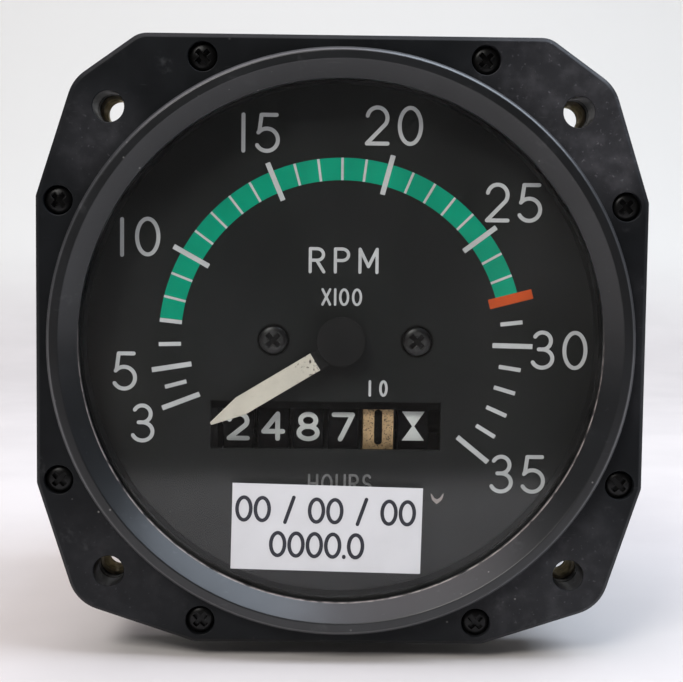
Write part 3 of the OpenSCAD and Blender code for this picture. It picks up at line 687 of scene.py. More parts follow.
def slot_finishes() -> dict[str, Finish | ClearGlass]:
    """The finishes of the record's material slots.

    Returns:
        Each slot's finish.
    """
    return {
        "black_moulding": RingMoulding(
            (0.0068, 0.0076, 0.0086), roughness=0.4, specular=0.12, drift=0.22, grain_size=0.22,
            grain_depth=0.012 * MM, coat_roughness=0.3,
        ),
        "black_screw": Finish(
            (0.003, 0.003, 0.003), roughness=0.32, specular=0.22, drift=0.3, drift_size=1.5
        ),
        "seal_rubber": Finish((0.018, 0.018, 0.018), roughness=0.8),
        "clear_glass": ClearGlass(),
        "label_paper": Finish(
            (0.66, 0.66, 0.675), roughness=0.6, drift=0.025, drift_size=5.0, grain_size=0.15
        ),
        "ring_black": Finish((0.009, 0.009, 0.009), roughness=0.7),
        "dial_paint": DialPaint(
            (0.0112, 0.0124, 0.012), roughness=0.62, drift=0.16, drift_size=12.0, specular=0.2,
            grain_depth=0.002 * MM,
        ),
        "brass": Finish(
            (0.72, 0.53, 0.25), roughness=0.3, metallic=1.0, drift=0.12,
            grain_stretch=(0.2, 1.0, 1.0),
        ),
        "neck_brass": Finish(
            (0.5, 0.42, 0.26), roughness=0.38, metallic=1.0, drift=0.2, drift_size=3.0
        ),
        "plate_alloy": Finish(
            (0.68, 0.69, 0.7), roughness=0.4, metallic=1.0, grain_stretch=(0.1, 1.0, 1.0)
        ),
        "steel": Finish(
            (0.55, 0.56, 0.58), roughness=0.3, metallic=1.0, drift=0.12,
            grain_stretch=(1.0, 0.1, 1.0),
        ),
        "pointer_cream": PointerPaint(
            (0.64, 0.6, 0.51), roughness=0.6, specular=0.15, drift=0.06, drift_size=2.5
        ),
        "pointer_black": Finish((0.0105, 0.0108, 0.0106), roughness=0.62, specular=0.2),
        "jewel": Finish((0.35, 0.02, 0.06), roughness=0.08),
        "magnet_grey": Finish((0.12, 0.12, 0.13), roughness=0.45, metallic=1.0),
        "spring_bronze": Finish((0.6, 0.4, 0.2), roughness=0.3, metallic=1.0),
        "drum_black": Finish(
            (0.0025, 0.0025, 0.003), roughness=0.5, specular=0.08, drift=0.25, drift_size=2.0
        ),
        "drum_cream": AgedPlastic(
            (0.56, 0.38, 0.2), roughness=0.6, drift=0.15, drift_size=1.5
        ),
    }


def added_finishes() -> dict[str, Finish]:
    """The finishes of pieces that differ from their slots: inks, painted shade, worn spots and aged
    brass.

    Returns:
        Each finish by its material's name.
    """
    return {
        "scale_white": Finish((0.57, 0.58, 0.58), roughness=0.6, drift=0.1, specular=0.1),
        # A darker white for the counter's unit word.
        "dim_white": Finish(
            (0.24, 0.235, 0.235), roughness=0.6, drift=0.3, drift_size=1.0, specular=0.1
        ),
        "band_green": Finish((0.002, 0.325, 0.19), roughness=0.6, drift=0.1, specular=0.08),
        "limit_red": Finish((0.58, 0.09, 0.022), roughness=0.6, drift=0.1, specular=0.08),
        # Black for the window mask and for the painted shade rings round the dial screws.
        "mask_and_painted_shade_black": Finish((0.002, 0.002, 0.002), roughness=0.7, specular=0.1),
        "bare_chip": Finish((0.42, 0.36, 0.34), roughness=0.7),
        "label_ink": Finish((0.02, 0.021, 0.03), roughness=0.6),
        "drum_white": Finish((0.66, 0.68, 0.66), roughness=0.6, drift=0.12, specular=0.1),
        "drum_ink": Finish((0.005, 0.0045, 0.004), roughness=0.6, specular=0.08),
        "aged_brass": Finish(
            (0.5, 0.45, 0.33), roughness=0.42, metallic=0.8, drift=0.3, drift_size=1.2
        ),
    }


class Palette:
    """The materials by name, each built once, and the record's slot of each node."""

    def __init__(self, finishes: dict[str, Finish | ClearGlass]) -> None:
        """Builds one material for each finish."""
        self.materials = {name: look.material(name) for name, look in finishes.items()}
        self.slots = {p["node"]: p["material_slot"] for p in frame["record"]["subparts"]}

    def dress(self, *nodes: str, look: bpy.types.Material | None = None) -> None:
        """Gives frame nodes the finish of their slots, or a look of their own.

        Args:
            nodes: The frame nodes.
            look: The material that takes the place of the slots' finishes.
        """
        for node in nodes:
            material = look or self.materials[self.slots[node]]
            mesh = frame["nodes"][node].data
            mesh.materials.clear()
            mesh.materials.append(material)
            log.info("dressed %s as %s", node, material.name)


def soften(node: str, width: float) -> None:
    """Rounds a frame node's sharp edges with modifiers.

    Args:
        node: The frame node's name.
        width: Width of the rounding in metres.
    """
    piece = frame["nodes"][node]
    weld = piece.modifiers.new("weld", "WELD")
    weld.merge_threshold = WELD_REACH
    flat = piece.modifiers.new("flat", "DECIMATE")
    flat.decimate_type = "DISSOLVE"
    flat.angle_limit = FLAT_ANGLE
    edge = piece.modifiers.new("edge", "BEVEL")
    edge.width = width
    edge.segments = EDGE_SEGMENTS
    edge.limit_method = "ANGLE"
    edge.angle_limit = EDGE_ANGLE
    edge.use_clamp_overlap = False
    normals = piece.modifiers.new("normals", "WEIGHTED_NORMAL")
    normals.weight = NORMAL_WEIGHT


def make_piece(
    name: str, points: Sequence[Vector], faces: Faces, body: str,
    material: bpy.types.Material,
) -> bpy.types.Object:
    """Makes a mesh piece that rides on a body.

    Args:
        name: The piece's name.
        points: The mesh's points.
        faces: The mesh's faces.
        body: The body that the piece rides on.
        material: The piece's material.

    Returns:
        The new piece.
    """
    mesh = bpy.data.meshes.new(name)
    mesh.from_pydata(points, [], faces)
    shape = bmesh.new()
    shape.from_mesh(mesh)
    bmesh.ops.recalc_face_normals(shape, faces=shape.faces)
    shape.to_mesh(mesh)
    shape.free()
    mesh.polygons.foreach_set("use_smooth", [False] * len(mesh.polygons))
    mesh.materials.append(material)
    piece = bpy.data.objects.new(name, mesh)
    bpy.context.scene.collection.objects.link(piece)
    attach(piece, body)
    log.info("built %s on %s", name, body)
    return piece


class Cap(Enum):
    """How a ribbon of ink ends."""

    ROUND = "round"
    FLAT = "flat"


@dataclass
class Film:
    """A thin closed layer of ink, laid on a surface that place describes.

    place turns a position on the surface, across and up, and a height above it into a point.
    """

    name: str
    place: Place
    lift: float = 0.02 * MM
    sink: float = 0.01 * MM
    stack: float = 0.0015 * MM
    longest: float = math.inf
    cap_steps: int = 5
    points: list[Vector] = field(default_factory=list)
    faces: Faces = field(default_factory=list)
    layers: int = 0

    def _fine(
        self, path: Sequence[Point], widths: Sequence[float]
    ) -> list[tuple[float, float, float]]:
        """Splits long stretches of a path.

        Args:
            path: The path's points.
            widths: The ribbon's width at each point.

        Returns:
            Points of across, up and width.
        """
        rows = [(*path[0], widths[0])]
        for a, b, wa, wb in zip(path, path[1:], widths, widths[1:]):
            parts = max(1, math.ceil(math.dist(a, b) / self.longest))
            for i in range(1, parts + 1):
                t = i / parts
                across, up = (p + (q - p) * t for p, q in zip(a, b))
                rows.append((across, up, wa + (wb - wa) * t))
        return rows

    def ribbon(
        self, path: Sequence[Point], width: float | Sequence[float], cap: Cap = Cap.ROUND,
        closed: bool = False,
    ) -> None:
        """Lays one stroke of ink along a path.

        Args:
            path: The path's points, across and up.
            width: The stroke's width, or its width at each point.
            cap: How the stroke ends.
            closed: Whether the path runs back to its start.
        """
        widths = [width] * len(path) if isinstance(width, float) else list(width)
        rows = self._fine(path, widths)
        points = [Vector(r[:2]) for r in rows]
        count = len(points)
        strip: Strip = []
        for i, (point, row) in enumerate(zip(points, rows)):
            before = points[(i - 1) % count] if closed or i else None
            after = points[(i + 1) % count] if closed or i < count - 1 else None
            come = (point - before).normalized() if before is not None else None
            go = (after - point).normalized() if after is not None else None
            along = ((come or go) + (go or come)).normalized()
            spread = row[2] / 2 / max(MITRE_LIMIT, along.dot(go or come))
            strip.append((point, Vector((-along.y, along.x)) * spread))
        if cap is Cap.ROUND and not closed:
            strip = self._rounded(strip, points)
        self._add(strip, closed)

    def _rounded(self, strip: Strip, points: Sequence[Vector]) -> Strip:
        """Adds round ends to a strip.

        Args:
            strip: Middle points with their half widths as vectors.
            points: The path's points.

        Returns:
            The longer strip.
        """
        ends = []
        outward = (points[0] - points[1], points[-1] - points[-2])
        for (middle, half), out in zip((strip[0], strip[-1]), outward):
            out = out.normalized() * half.length
            turns = [CAP_TURN * (i + 1) / self.cap_steps for i in range(self.cap_steps)]
            ends.append([(middle + out * math.sin(a), half * math.cos(a)) for a in turns])
        return ends[0][::-1] + strip + ends[1]

    def _add(self, strip: Strip, closed: bool) -> None:
        """Adds a strip as a closed layer, a little higher than the one before it.

        Args:
            strip: Middle points with their half widths as vectors.
            closed: Whether the strip runs back to its start.
        """
        first = len(self.points)
        top = self.lift + self.stack * self.layers
        self.layers += 1
        for middle, half in strip:
            for side in (middle + half, middle - half):
                for height in (top, -self.sink):
                    self.points.append(self.place(side.x, side.y, height))
        count = len(strip)
        for i in range(count if closed else count - 1):
            a = first + 4 * i
            b = first + 4 * ((i + 1) % count)
            self.faces += [
                (a, a + 2, b + 2, b), (a + 1, b + 1, b + 3, a + 3),
                (a, b, b + 1, a + 1), (a + 2, a + 3, b + 3, b + 2),
            ]
        if not closed:
            last = first + 4 * (count - 1)
            self.faces += [
                (first, first + 1, first + 3, first + 2), (last, last + 2, last + 3, last + 1),
            ]

    def piece(self, body: str, slot: str, material: bpy.types.Material) -> bpy.types.Object:
        """Turns the strokes into one piece on a body."""
        return make_piece(self.name, self.points, self.faces, body, material)


@dataclass(frozen=True)
class Arc:
    """Part of an ellipse, with its angles in degrees."""

    x: float
    y: float
    rx: float
    ry: float
    start: float
    end: float

    def points(self) -> list[Point]:
        """Spaces points evenly along the arc.

        Returns:
            The points.
        """
        sweep = self.end - self.start
        steps = max(2, math.ceil(abs(sweep) / ARC_STEP))
        turns = [math.radians(self.start + sweep * i / steps) for i in range(steps + 1)]
        return [(self.x + self.rx * math.cos(a), self.y + self.ry * math.sin(a)) for a in turns]


@dataclass(frozen=True)
class Stroke:
    """One stroke of the pen, in units of the figure's height."""

    stretches: tuple[Point | Arc, ...]
    closed: bool = False

    def path(self) -> list[Point]:
        """Joins the stretches and drops points that fall together.

        Returns:
            Points along the stroke.
        """
        runs = [s.points() if isinstance(s, Arc) else [s] for s in self.stretches]
        spots = [p for run in runs for p in run]
        path = [p for p, q in zip(spots, spots[1:]) if math.dist(p, q) > SAME_SPOT]
        return path if self.closed else path + spots[-1:]


def pen(*stretches: Point | Arc) -> Stroke:
    """An open stroke."""
    return Stroke(stretches)


def loop(x: float, y: float, rx: float, ry: float) -> Stroke:
    """A closed oval stroke."""
    return Stroke((Arc(x, y, rx, ry, 0, 360),), closed=True)


BOWL = ((0.0, 1.0), (0.28, 1.0), Arc(0.28, 0.75, 0.26, 0.25, 90, -90), (0.0, 0.5))
STEM = pen((0.0, 0.0), (0.0, 1.0))
FIGURES: dict[str, tuple[float, tuple[Stroke, ...]]] = {
    " ": (0.3, ()),
    ".": (0.0, (pen((0.0, 0.0), (0.0, 0.03)),)),
    "/": (0.36, (pen((0.0, -0.05), (0.36, 1.05)),)),
    "0": (0.6, (loop(0.3, 0.5, 0.3, 0.5),)),
    "1": (0.0, (STEM,)),
    "2": (0.58, (
        pen(Arc(0.29, 0.71, 0.28, 0.29, 168, -36), (0.0, 0.0)),
        pen((0.0, 0.0), (0.58, 0.0)),
    )),
    "3": (0.56, (
        pen(Arc(0.27, 0.76, 0.24, 0.24, 150, -90), (0.17, 0.52)),
        pen(Arc(0.27, 0.26, 0.29, 0.26, 90, -155)),
    )),
    "4": (0.6, (
        pen((0.44, 0.0), (0.44, 1.0)), pen((0.44, 1.0), (0.0, 0.3)), pen((0.0, 0.3), (0.6, 0.3)),
    )),
    "5": (0.58, (
        pen((0.54, 1.0), (0.12, 1.0)), pen((0.12, 1.0), (0.06, 0.54)),
        pen(Arc(0.27, 0.31, 0.31, 0.31, 140, -150)),
    )),
    "6": (0.58, (loop(0.29, 0.3, 0.29, 0.3), pen(Arc(0.58, 0.3, 0.58, 0.71, 180, 100)))),
    "7": (0.58, (pen((0.0, 1.0), (0.58, 1.0)), pen((0.58, 1.0), (0.2, 0.0)))),
    "8": (0.58, (loop(0.29, 0.755, 0.24, 0.245), loop(0.29, 0.26, 0.29, 0.26))),
    "9": (0.58, (loop(0.29, 0.7, 0.29, 0.3), pen(Arc(0.0, 0.7, 0.58, 0.71, 0, -80)))),
    "H": (0.56, (STEM, pen((0.56, 0.0), (0.56, 1.0)), pen((0.0, 0.5), (0.56, 0.5)))),
    "M": (0.7, (
        STEM, pen((0.0, 1.0), (0.35, 0.25)), pen((0.35, 0.25), (0.7, 1.0)),
        pen((0.7, 1.0), (0.7, 0.0)),
    )),
    "O": (0.64, (loop(0.32, 0.5, 0.32, 0.5),)),
    "P": (0.54, (STEM, pen(*BOWL))),
    "R": (0.56, (STEM, pen(*BOWL), pen((0.26, 0.5), (0.56, 0.0)))),
    "S": (0.54, (
        pen(Arc(0.27, 0.75, 0.24, 0.25, 30, 270), Arc(0.27, 0.25, 0.27, 0.25, 90, -150)),
    )),
    "U": (0.56, (pen((0.0, 1.0), Arc(0.28, 0.28, 0.28, 0.28, 180, 360), (0.56, 1.0)),)),
    "X": (0.58, (pen((0.0, 0.0), (0.58, 1.0)), pen((0.0, 1.0), (0.58, 0.0)))),
}


@dataclass(frozen=True)
class Lettering:
    """Figures and letters of one size, drawn with single strokes."""

    height: float
    stroke: float
    gap: float = 0.26
    widen: float = 1.0

    def write(self, film: Film, text: str, centre: Point) -> None:
        """Writes a line of figures.

        Args:
            film: The ink that takes the strokes.
            text: The figures.
            centre: Middle of the line, across and up.
        """
        across = [FIGURES[c][0] * self.widen for c in text]
        left = -(sum(across) + self.gap * (len(text) - 1)) / 2
        for figure, wide in zip(text, across):
            for stroke in FIGURES[figure][1]:
                path = [
                    (
                        centre[0] + (left + x * self.widen) * self.height,
                        centre[1] + (y - 0.5) * self.height,
                    )
                    for x, y in stroke.path()
                ]
                film.ribbon(path, self.stroke, closed=stroke.closed)
            left += wide + self.gap


@dataclass
class Turning:
    """A ring turned round an axis along Y, with a thread on part of it."""

    pitch: float
    depth: float
    around: int = 96
    rows_per_turn: int = 10
    profile: list[tuple[float, float, bool]] = field(default_factory=list)

    def plain(self, *corners: Point) -> None:
        """Adds corners of the section, as radius and Y."""
        self.profile += [(radius, y, False) for radius, y in corners]

    def thread(self, radius: float, start: float, stop: float) -> None:
        """Adds a threaded stretch at a radius, from start to stop along Y."""
        rows = math.ceil(abs(stop - start) / self.pitch * self.rows_per_turn)
        self.profile += [(radius, start + (stop - start) * i / rows, True) for i in range(1, rows)]

    def mesh(self, centre: Point, first: int = 0) -> tuple[list[Vector], Faces]:
        """Turns the section into a closed ring.

        Args:
            centre: The axis, as X and Z.
            first: Number of the ring's first point in its mesh.

        Returns:
            Points and faces.
        """
        points = []
        for radius, y, threaded in self.profile:
            for j in range(self.around):
                phase = y / self.pitch - j / self.around
                cut = self.depth * abs(2 * (phase % 1.0) - 1) if threaded else 0.0
                turn = math.tau * j / self.around
                across, up = (radius - cut) * math.cos(turn), (radius - cut) * math.sin(turn)
                points.append(Vector((centre[0] + across, y, centre[1] + up)))
        faces = []
        count = len(self.profile)
        for i in range(count):
            a, b = first + i * self.around, first + (i + 1) % count * self.around
            for j in range(self.around):
                k = (j + 1) % self.around
                faces.append((a + j, a + k, b + k, b + j))
        return points, faces


@dataclass
class Bezel:
    """The square flange with its ring, screws, seal and threaded inserts."""

    edge: float = 0.14 * MM
    screw_edge: float = 0.05 * MM
    insert_r: float = 2.8 * MM
    insert_bore_r: float = 1.75 * MM
    insert_pitch: float = 0.794 * MM
    insert_depth: float = 0.32 * MM
    insert_sides: int = 48
    insert_rows: int = 8
    nodes: tuple[str, ...] = ("bezel", "bezel_screws", "glass_seal")

    def build(self, palette: Palette) -> None:
        """Dresses the nodes, rounds their edges and cuts the inserts' threads.

        Args:
            palette: The materials.
        """
        palette.dress(*self.nodes)
        soften("bezel", self.edge)
        soften("bezel_screws", self.screw_edge)
        self.inserts(palette)

    def inserts(self, palette: Palette) -> None:
        """Turns the four inserts, each with a thread in its bore.

        Args:
            palette: The materials.
        """
        low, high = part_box("mount_inserts")
        ring = Turning(
            self.insert_pitch, -self.insert_depth, self.insert_sides, self.insert_rows
        )
        ring.plain(
            (self.insert_bore_r, low.y), (self.insert_r, low.y), (self.insert_r, high.y),
            (self.insert_bore_r, high.y),
        )
        ring.thread(self.insert_bore_r, high.y, low.y)
        points: list[Vector] = []
        faces: Faces = []
        for x in (low.x + self.insert_r, high.x - self.insert_r):
            for z in (low.z + self.insert_r, high.z - self.insert_r):
                new_points, new_faces = ring.mesh((x, z), len(points))
                points += new_points
                faces += new_faces
        slot, aged = palette.slots["mount_inserts"], palette.materials["aged_brass"]
        piece = make_piece("threaded_inserts", points, faces, "housing", aged)
        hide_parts("mount_inserts")


@dataclass
class Glazing:
    """The glass, its spacer and the paper label stuck on it."""

    label_tilt: float = math.radians(1.1)
    rows: tuple[tuple[str, float, float], ...] = (
        ("00 / 00 / 00", -0.2 * MM, 2.45 * MM), ("0000.0", -1.3 * MM, -2.35 * MM),
    )
    figures: Lettering = Lettering(height=3.15 * MM, stroke=0.5 * MM, gap=0.2)
    nodes: tuple[str, ...] = ("cover_glass", "spacer_ring", "service_label")

    def build(self, palette: Palette) -> None:
        """Dresses the nodes and prints plain figures on the label.

        Args:
            palette: The materials.
        """
        palette.dress(*self.nodes)
        low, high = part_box("service_label")
        middle = (low + high) / 2
        turn = Matrix.Rotation(self.label_tilt, 3, "Y")

        def place(across: float, up: float, height: float) -> Vector:
            """Puts a spot on the label's face."""
            return turn @ Vector((across, 0, up)) + Vector((middle.x, low.y - height, middle.z))

        ink = Film("label_figures", place)
        for text, across, up in self.rows:
            self.figures.write(ink, text, (across, up))
        ink.piece("housing", "label_paper", palette.materials["label_ink"])


@dataclass
class DialFace:
    """The dial plate with its scale, figures and two screws.

    The scale is even from slow_value up and wider spaced below it. Each numeral has its text and
    its middle in millimetres, and each point of the chip its place and width in millimetres.
    """

    centre: Point = (0.04 * MM, -0.08 * MM)
    first_value: int = 3
    top_value: int = 35
    known_value: int = 20
    known_angle: float = 75.05
    step_angle: float = 7.6
    slow_value: int = 7
    slow_step: float = 7.7
    low_value: int = 5
    low_step: float = 5.95
    majors: tuple[int, ...] = (3, 5, 10, 15, 20, 25, 30, 35)
    major_r: Span = (21.2 * MM, 26.8 * MM)
    minor_r: Span = (22.4 * MM, 25.5 * MM)
    major_w: float = 0.7 * MM
    minor_w: float = 0.56 * MM
    division_w: float = 0.34 * MM
    green: tuple[int, int] = (7, 28)
    green_lift: float = 0.012 * MM
    limit_r: Span = (21.3 * MM, 27.5 * MM)
    limit_w: float = 1.35 * MM
    limit_at: float = 27.95
    limit_lift: float = 0.03 * MM
    numeral: Lettering = Lettering(height=4.95 * MM, stroke=0.54 * MM, gap=0.335)
    numeral_places: tuple[tuple[str, float, float], ...] = (
        ("3", -27.7, -11.9), ("5", -30.2, -4.6), ("1", -30.58, 14.1), ("0", -27.02, 14.2),
        ("1", -13.83, 28.7), ("5", -10.49, 28.7), ("20", 7.0, 29.9), ("25", 23.8, 19.5),
        ("30", 30.6, -1.0), ("35", 25.1, -18.6),
    )
    unit: Lettering = Lettering(height=3.2 * MM, stroke=0.44 * MM, gap=0.5, widen=1.06)
    unit_at: Point = (0.25 * MM, 11.2 * MM)
    factor: Lettering = Lettering(height=2.1 * MM, stroke=0.34 * MM, gap=0.34, widen=0.86)
    factor_at: Point = (0.04 * MM, 6.1 * MM)
    tenth: Lettering = Lettering(height=1.95 * MM, stroke=0.36 * MM, gap=0.76, widen=0.72)
    tenth_at: Point = (5.3 * MM, -6.66 * MM)
    hours: Lettering = Lettering(height=2.4 * MM, stroke=0.33 * MM, gap=0.3, widen=0.85)
    hours_at: Point = (0.1 * MM, -20.2 * MM)
    chip: tuple[tuple[float, float, float], ...] = (
        (13.0, -21.55, 0.12), (13.3, -22.25, 0.42), (13.8, -22.65, 0.55), (14.4, -22.2, 0.38),
        (14.72, -21.5, 0.1),
    )
    screw_edge: float = 0.05 * MM
    screw_look: WornScrew = WornScrew(
        (0.03, 0.03, 0.03), roughness=0.35, drift=0.4, drift_size=0.8
    )
    # Width of the painted shade ring round each dial screw.
    press_w: float = 0.35 * MM
    window_x: Span = (-18.15 * MM, 14.15 * MM)
    window_top: float = -8.6 * MM
    mask_drop: float = 1.15 * MM
    mask_hold: float = 0.6 * MM
    mask_t: float = 0.3 * MM
    nodes: tuple[str, ...] = ("dial", "dial_screws")

    def build(self, palette: Palette) -> None:
        """Dresses the plate and its screws and lays the inks, each as a piece.

        Args:
            palette: The materials.
        """
        palette.dress("dial")
        self.screws(palette)
        for film, ink in (
            (self.band(), "band_green"),
            (self.scale(), "scale_white"),
            (self.limit(), "limit_red"),
            (self.numerals(), "scale_white"),
            (self.presses(), "mask_and_painted_shade_black"),
            (self.mask(), "mask_and_painted_shade_black"),
            (self.words(), "scale_white"),
            (self.hours_word(), "dim_white"),
            (self.chipped(), "bare_chip"),
        ):
            film.piece("housing", "dial_paint", palette.materials[ink])

    def angle(self, value: float) -> float:
        """The scale's angle for a value.

        Args:
            value: The value on the scale.

        Returns:
            The angle, anticlockwise from the right, in degrees.
        """
        even = self.known_angle - self.step_angle * (max(value, self.slow_value) - self.known_value)
        slow = self.slow_step * max(0.0, self.slow_value - max(value, self.low_value))
        return even + slow + self.low_step * max(0.0, self.low_value - value)

    def spot(self, radius: float, angle: float) -> Point:
        """A place on the dial by its radius and its angle in degrees."""
        turn = math.radians(angle)
        return self.centre[0] + radius * math.cos(turn), self.centre[1] + radius * math.sin(turn)

    def tick(self, ink: Film, value: float, reach: Span, width: float) -> None:
        """Draws the line of the scale at a value, between two radii."""
        angle = self.angle(value)
        ink.ribbon([self.spot(r, angle) for r in reach], width, Cap.FLAT)

    def film(self, name: str, lift: float = Film.lift) -> Film:
        """Ink for the dial's face.

        Args:
            name: The new piece's name.
            lift: The ink's height.

        Returns:
            The empty ink.
        """
        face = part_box("dial")[0].y

        def place(across: float, up: float, height: float) -> Vector:
            """Puts a spot on the dial's face."""
            return Vector((across, face - height, up))

        return Film(name, place, lift)

    def band(self) -> Film:
        """Draws the green band.

        Returns:
            The ink.
        """
        ink = self.film("green_band", self.green_lift)
        low, high = (self.angle(v) for v in self.green)
        middle = sum(self.minor_r) / 2
        steps = math.ceil(abs(high - low))
        arc = [self.spot(middle, low + (high - low) * i / steps) for i in range(steps + 1)]
        ink.ribbon(arc, self.minor_r[1] - self.minor_r[0], Cap.FLAT)
        return ink

    def scale(self) -> Film:
        """Draws the scale's lines, thinner ones inside the green band.

        Returns:
            The ink.
        """
        ink = self.film("scale_lines")
        for value in range(self.first_value, self.top_value + 1):
            inside = self.green[0] < value < self.green[1]
            if value in self.majors:
                self.tick(ink, value, self.major_r, self.major_w)
            elif value != self.green[1]:
                self.tick(ink, value, self.minor_r, self.division_w if inside else self.minor_w)
        return ink

    def limit(self) -> Film:
        """Draws the red line at the band's end.

        Returns:
            The ink.
        """
        ink = self.film("limit_line", self.limit_lift)
        self.tick(ink, self.limit_at, self.limit_r, self.limit_w)
        return ink

    def numerals(self) -> Film:
        """Writes the numbers round the scale.

        Returns:
            The ink.
        """
        ink = self.film("scale_figures")
        for text, across, up in self.numeral_places:
            self.numeral.write(ink, text, (across * MM, up * MM))
        return ink

    def words(self) -> Film:
        """Writes the unit, its factor and the tenth mark.

        Returns:
            The ink.
        """
        ink = self.film("unit_figures")
        self.unit.write(ink, "RPM", self.unit_at)
        self.factor.write(ink, "X100", self.factor_at)
        self.tenth.write(ink, "10", self.tenth_at)
        return ink

    def hours_word(self) -> Film:
        """Writes the counter's unit.

        Returns:
            The ink.
        """
        ink = self.film("hours_figures")
        self.hours.write(ink, "HOURS", self.hours_at)
        return ink

    def chipped(self) -> Film:
        """Draws the place where the dial's paint is chipped.

        Returns:
            The bare spot.
        """
        spot = self.film("dial_chip")
        spot.ribbon([(x * MM, z * MM) for x, z, _ in self.chip], [w * MM for _, _, w in self.chip])
        return spot

    def mask(self) -> Film:
        """Cuts the strip behind the dial that hangs a little into the window's top.

        Returns:
            The strip.
        """
        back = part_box("dial")[1].y

        def place(across: float, up: float, height: float) -> Vector:
            """Puts a spot on the dial's back."""
            return Vector((across, back + height, up))

        strip = Film("window_mask", place, self.mask_t)
        up = self.window_top + (self.mask_hold - self.mask_drop) / 2
        strip.ribbon([(x, up) for x in self.window_x], self.mask_hold + self.mask_drop, Cap.FLAT)
        return strip

    def screws(self, palette: Palette) -> None:
        """Dresses the two screws and rounds their edges.

        Args:
            palette: The materials.
        """
        worn = replace(self.screw_look, face=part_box("dial_screws")[0].y)
        palette.dress("dial_screws", look=worn.material("screw_worn"))
        soften("dial_screws", self.screw_edge)

    def presses(self) -> Film:
        """Draws a ring of painted shade round each screw head.

        Returns:
            The rings.
        """
        low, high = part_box("dial_screws")
        radius = (high.z - low.z) / 2
        reach = radius + self.press_w / 2
        rings = self.film("painted_screw_shade")
        for across in (low.x + radius, high.x - radius):
            ring = Arc(across, (low.z + high.z) / 2, reach, reach, 0, 360).points()[:-1]
            rings.ribbon(ring, self.press_w, closed=True)
        return rings


@dataclass
class PointerSet:
    """The pointer and its hub."""

    edge: float = 0.06 * MM
    nodes: tuple[str, ...] = ("pointer", "pointer_hub")

    def build(self, palette: Palette) -> None:
        """Dresses the nodes and rounds their edges.

        Args:
            palette: The materials.
        """
        palette.dress(*self.nodes)
        for node in self.nodes:
            soften(node, self.edge)


@dataclass
class HourCounter:
    """The six number drums with the figures on their rims."""

    shown: dict[str, int] = field(default_factory=lambda: {
        "thousands": 2, "hundreds": 4, "tens": 8, "units": 7, "tenths": 1, "running": 0,
    })
    figures: Lettering = Lettering(height=3.55 * MM, stroke=0.68 * MM, widen=1.27)
    bold: Lettering = Lettering(height=4.0 * MM, stroke=1.12 * MM, widen=1.2)
    figure_count: int = 10
    figure_drop: float = 0.45 * MM
    pale_drum: str = "tenths"
    marked_drum: str = "running"
    marks: int = 5
    mark_half: tuple[float, float] = (1.6 * MM, 2.1 * MM)
    mark_waist: float = 0.3 * MM
    finest: float = 0.35 * MM

    @property
    def nodes(self) -> list[str]:
        """The drums' nodes."""
        return [f"drum_{drum}" for drum in self.shown]

    def build(self, palette: Palette) -> None:
        """Dresses the drums and lays their figures.

        Args:
            palette: The materials.
        """
        for node, (drum, first) in zip(self.nodes, self.shown.items()):
            palette.dress(node)
            pale = drum == self.pale_drum
            low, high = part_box(node)
            radius = (high.z - low.z) / 2
            ink = self.film(f"figures_{drum}", (low + high) / 2, radius)
            if drum == self.marked_drum:
                self.marks_round(ink, radius)
            else:
                self.figures_round(ink, radius, first, self.bold if pale else self.figures)
            look = palette.materials["drum_ink" if pale else "drum_white"]
            ink.piece(drum, palette.slots[node], look)

    def film(self, name: str, middle: Vector, radius: float) -> Film:
        """Ink for a drum's rim, where up runs round the rim from its front.

        Args:
            name: The new piece's name.
            middle: The drum's middle.
            radius: The drum's radius.

        Returns:
            The empty ink.
        """
        def place(across: float, up: float, height: float) -> Vector:
            """Puts a spot on the drum's rim."""
            turn, out = up / radius, radius + height
            return middle + Vector((across, -out * math.cos(turn), out * math.sin(turn)))

        return Film(name, place, longest=self.finest)

    def figures_round(self, ink: Film, radius: float, first: int, hand: Lettering) -> None:
        """Writes a drum's figures, which rise downwards from the one that shows.

        Args:
            ink: The ink that takes the figures.
            radius: The drum's radius.
            first: The figure that shows.
            hand: The figures' style.
        """
        step = math.radians(360 / self.figure_count)
        for figure in range(self.figure_count):
            up = (first - figure) * step * radius - self.figure_drop
            hand.write(ink, str(figure), (0.0, up))

    def marks_round(self, ink: Film, radius: float) -> None:
        """Draws hourglass marks round the running drum.

        Args:
            ink: The ink that takes the marks.
            radius: The drum's radius.
        """
        half, tall = self.mark_half
        for mark in range(self.marks):
            up = mark * math.tau / self.marks * radius - self.figure_drop / 2
            path = [(0.0, up - tall), (0.0, up), (0.0, up + tall)]
            ink.ribbon(path, [2 * half, self.mark_waist, 2 * half], Cap.FLAT)


@dataclass
class Movement:
    """Everything behind the dial that the other classes don't dress."""

    blackened: tuple[str, ...] = ("front_plate", "counter_wheel")

    def build(self, palette: Palette, others: Sequence[str]) -> None:
        """Dresses each node that isn't in others, with dull black on what shows in the window."""
        palette.dress(*(n for n in palette.slots if n not in others))
        palette.dress(*self.blackened, look=palette.materials["ring_black"])


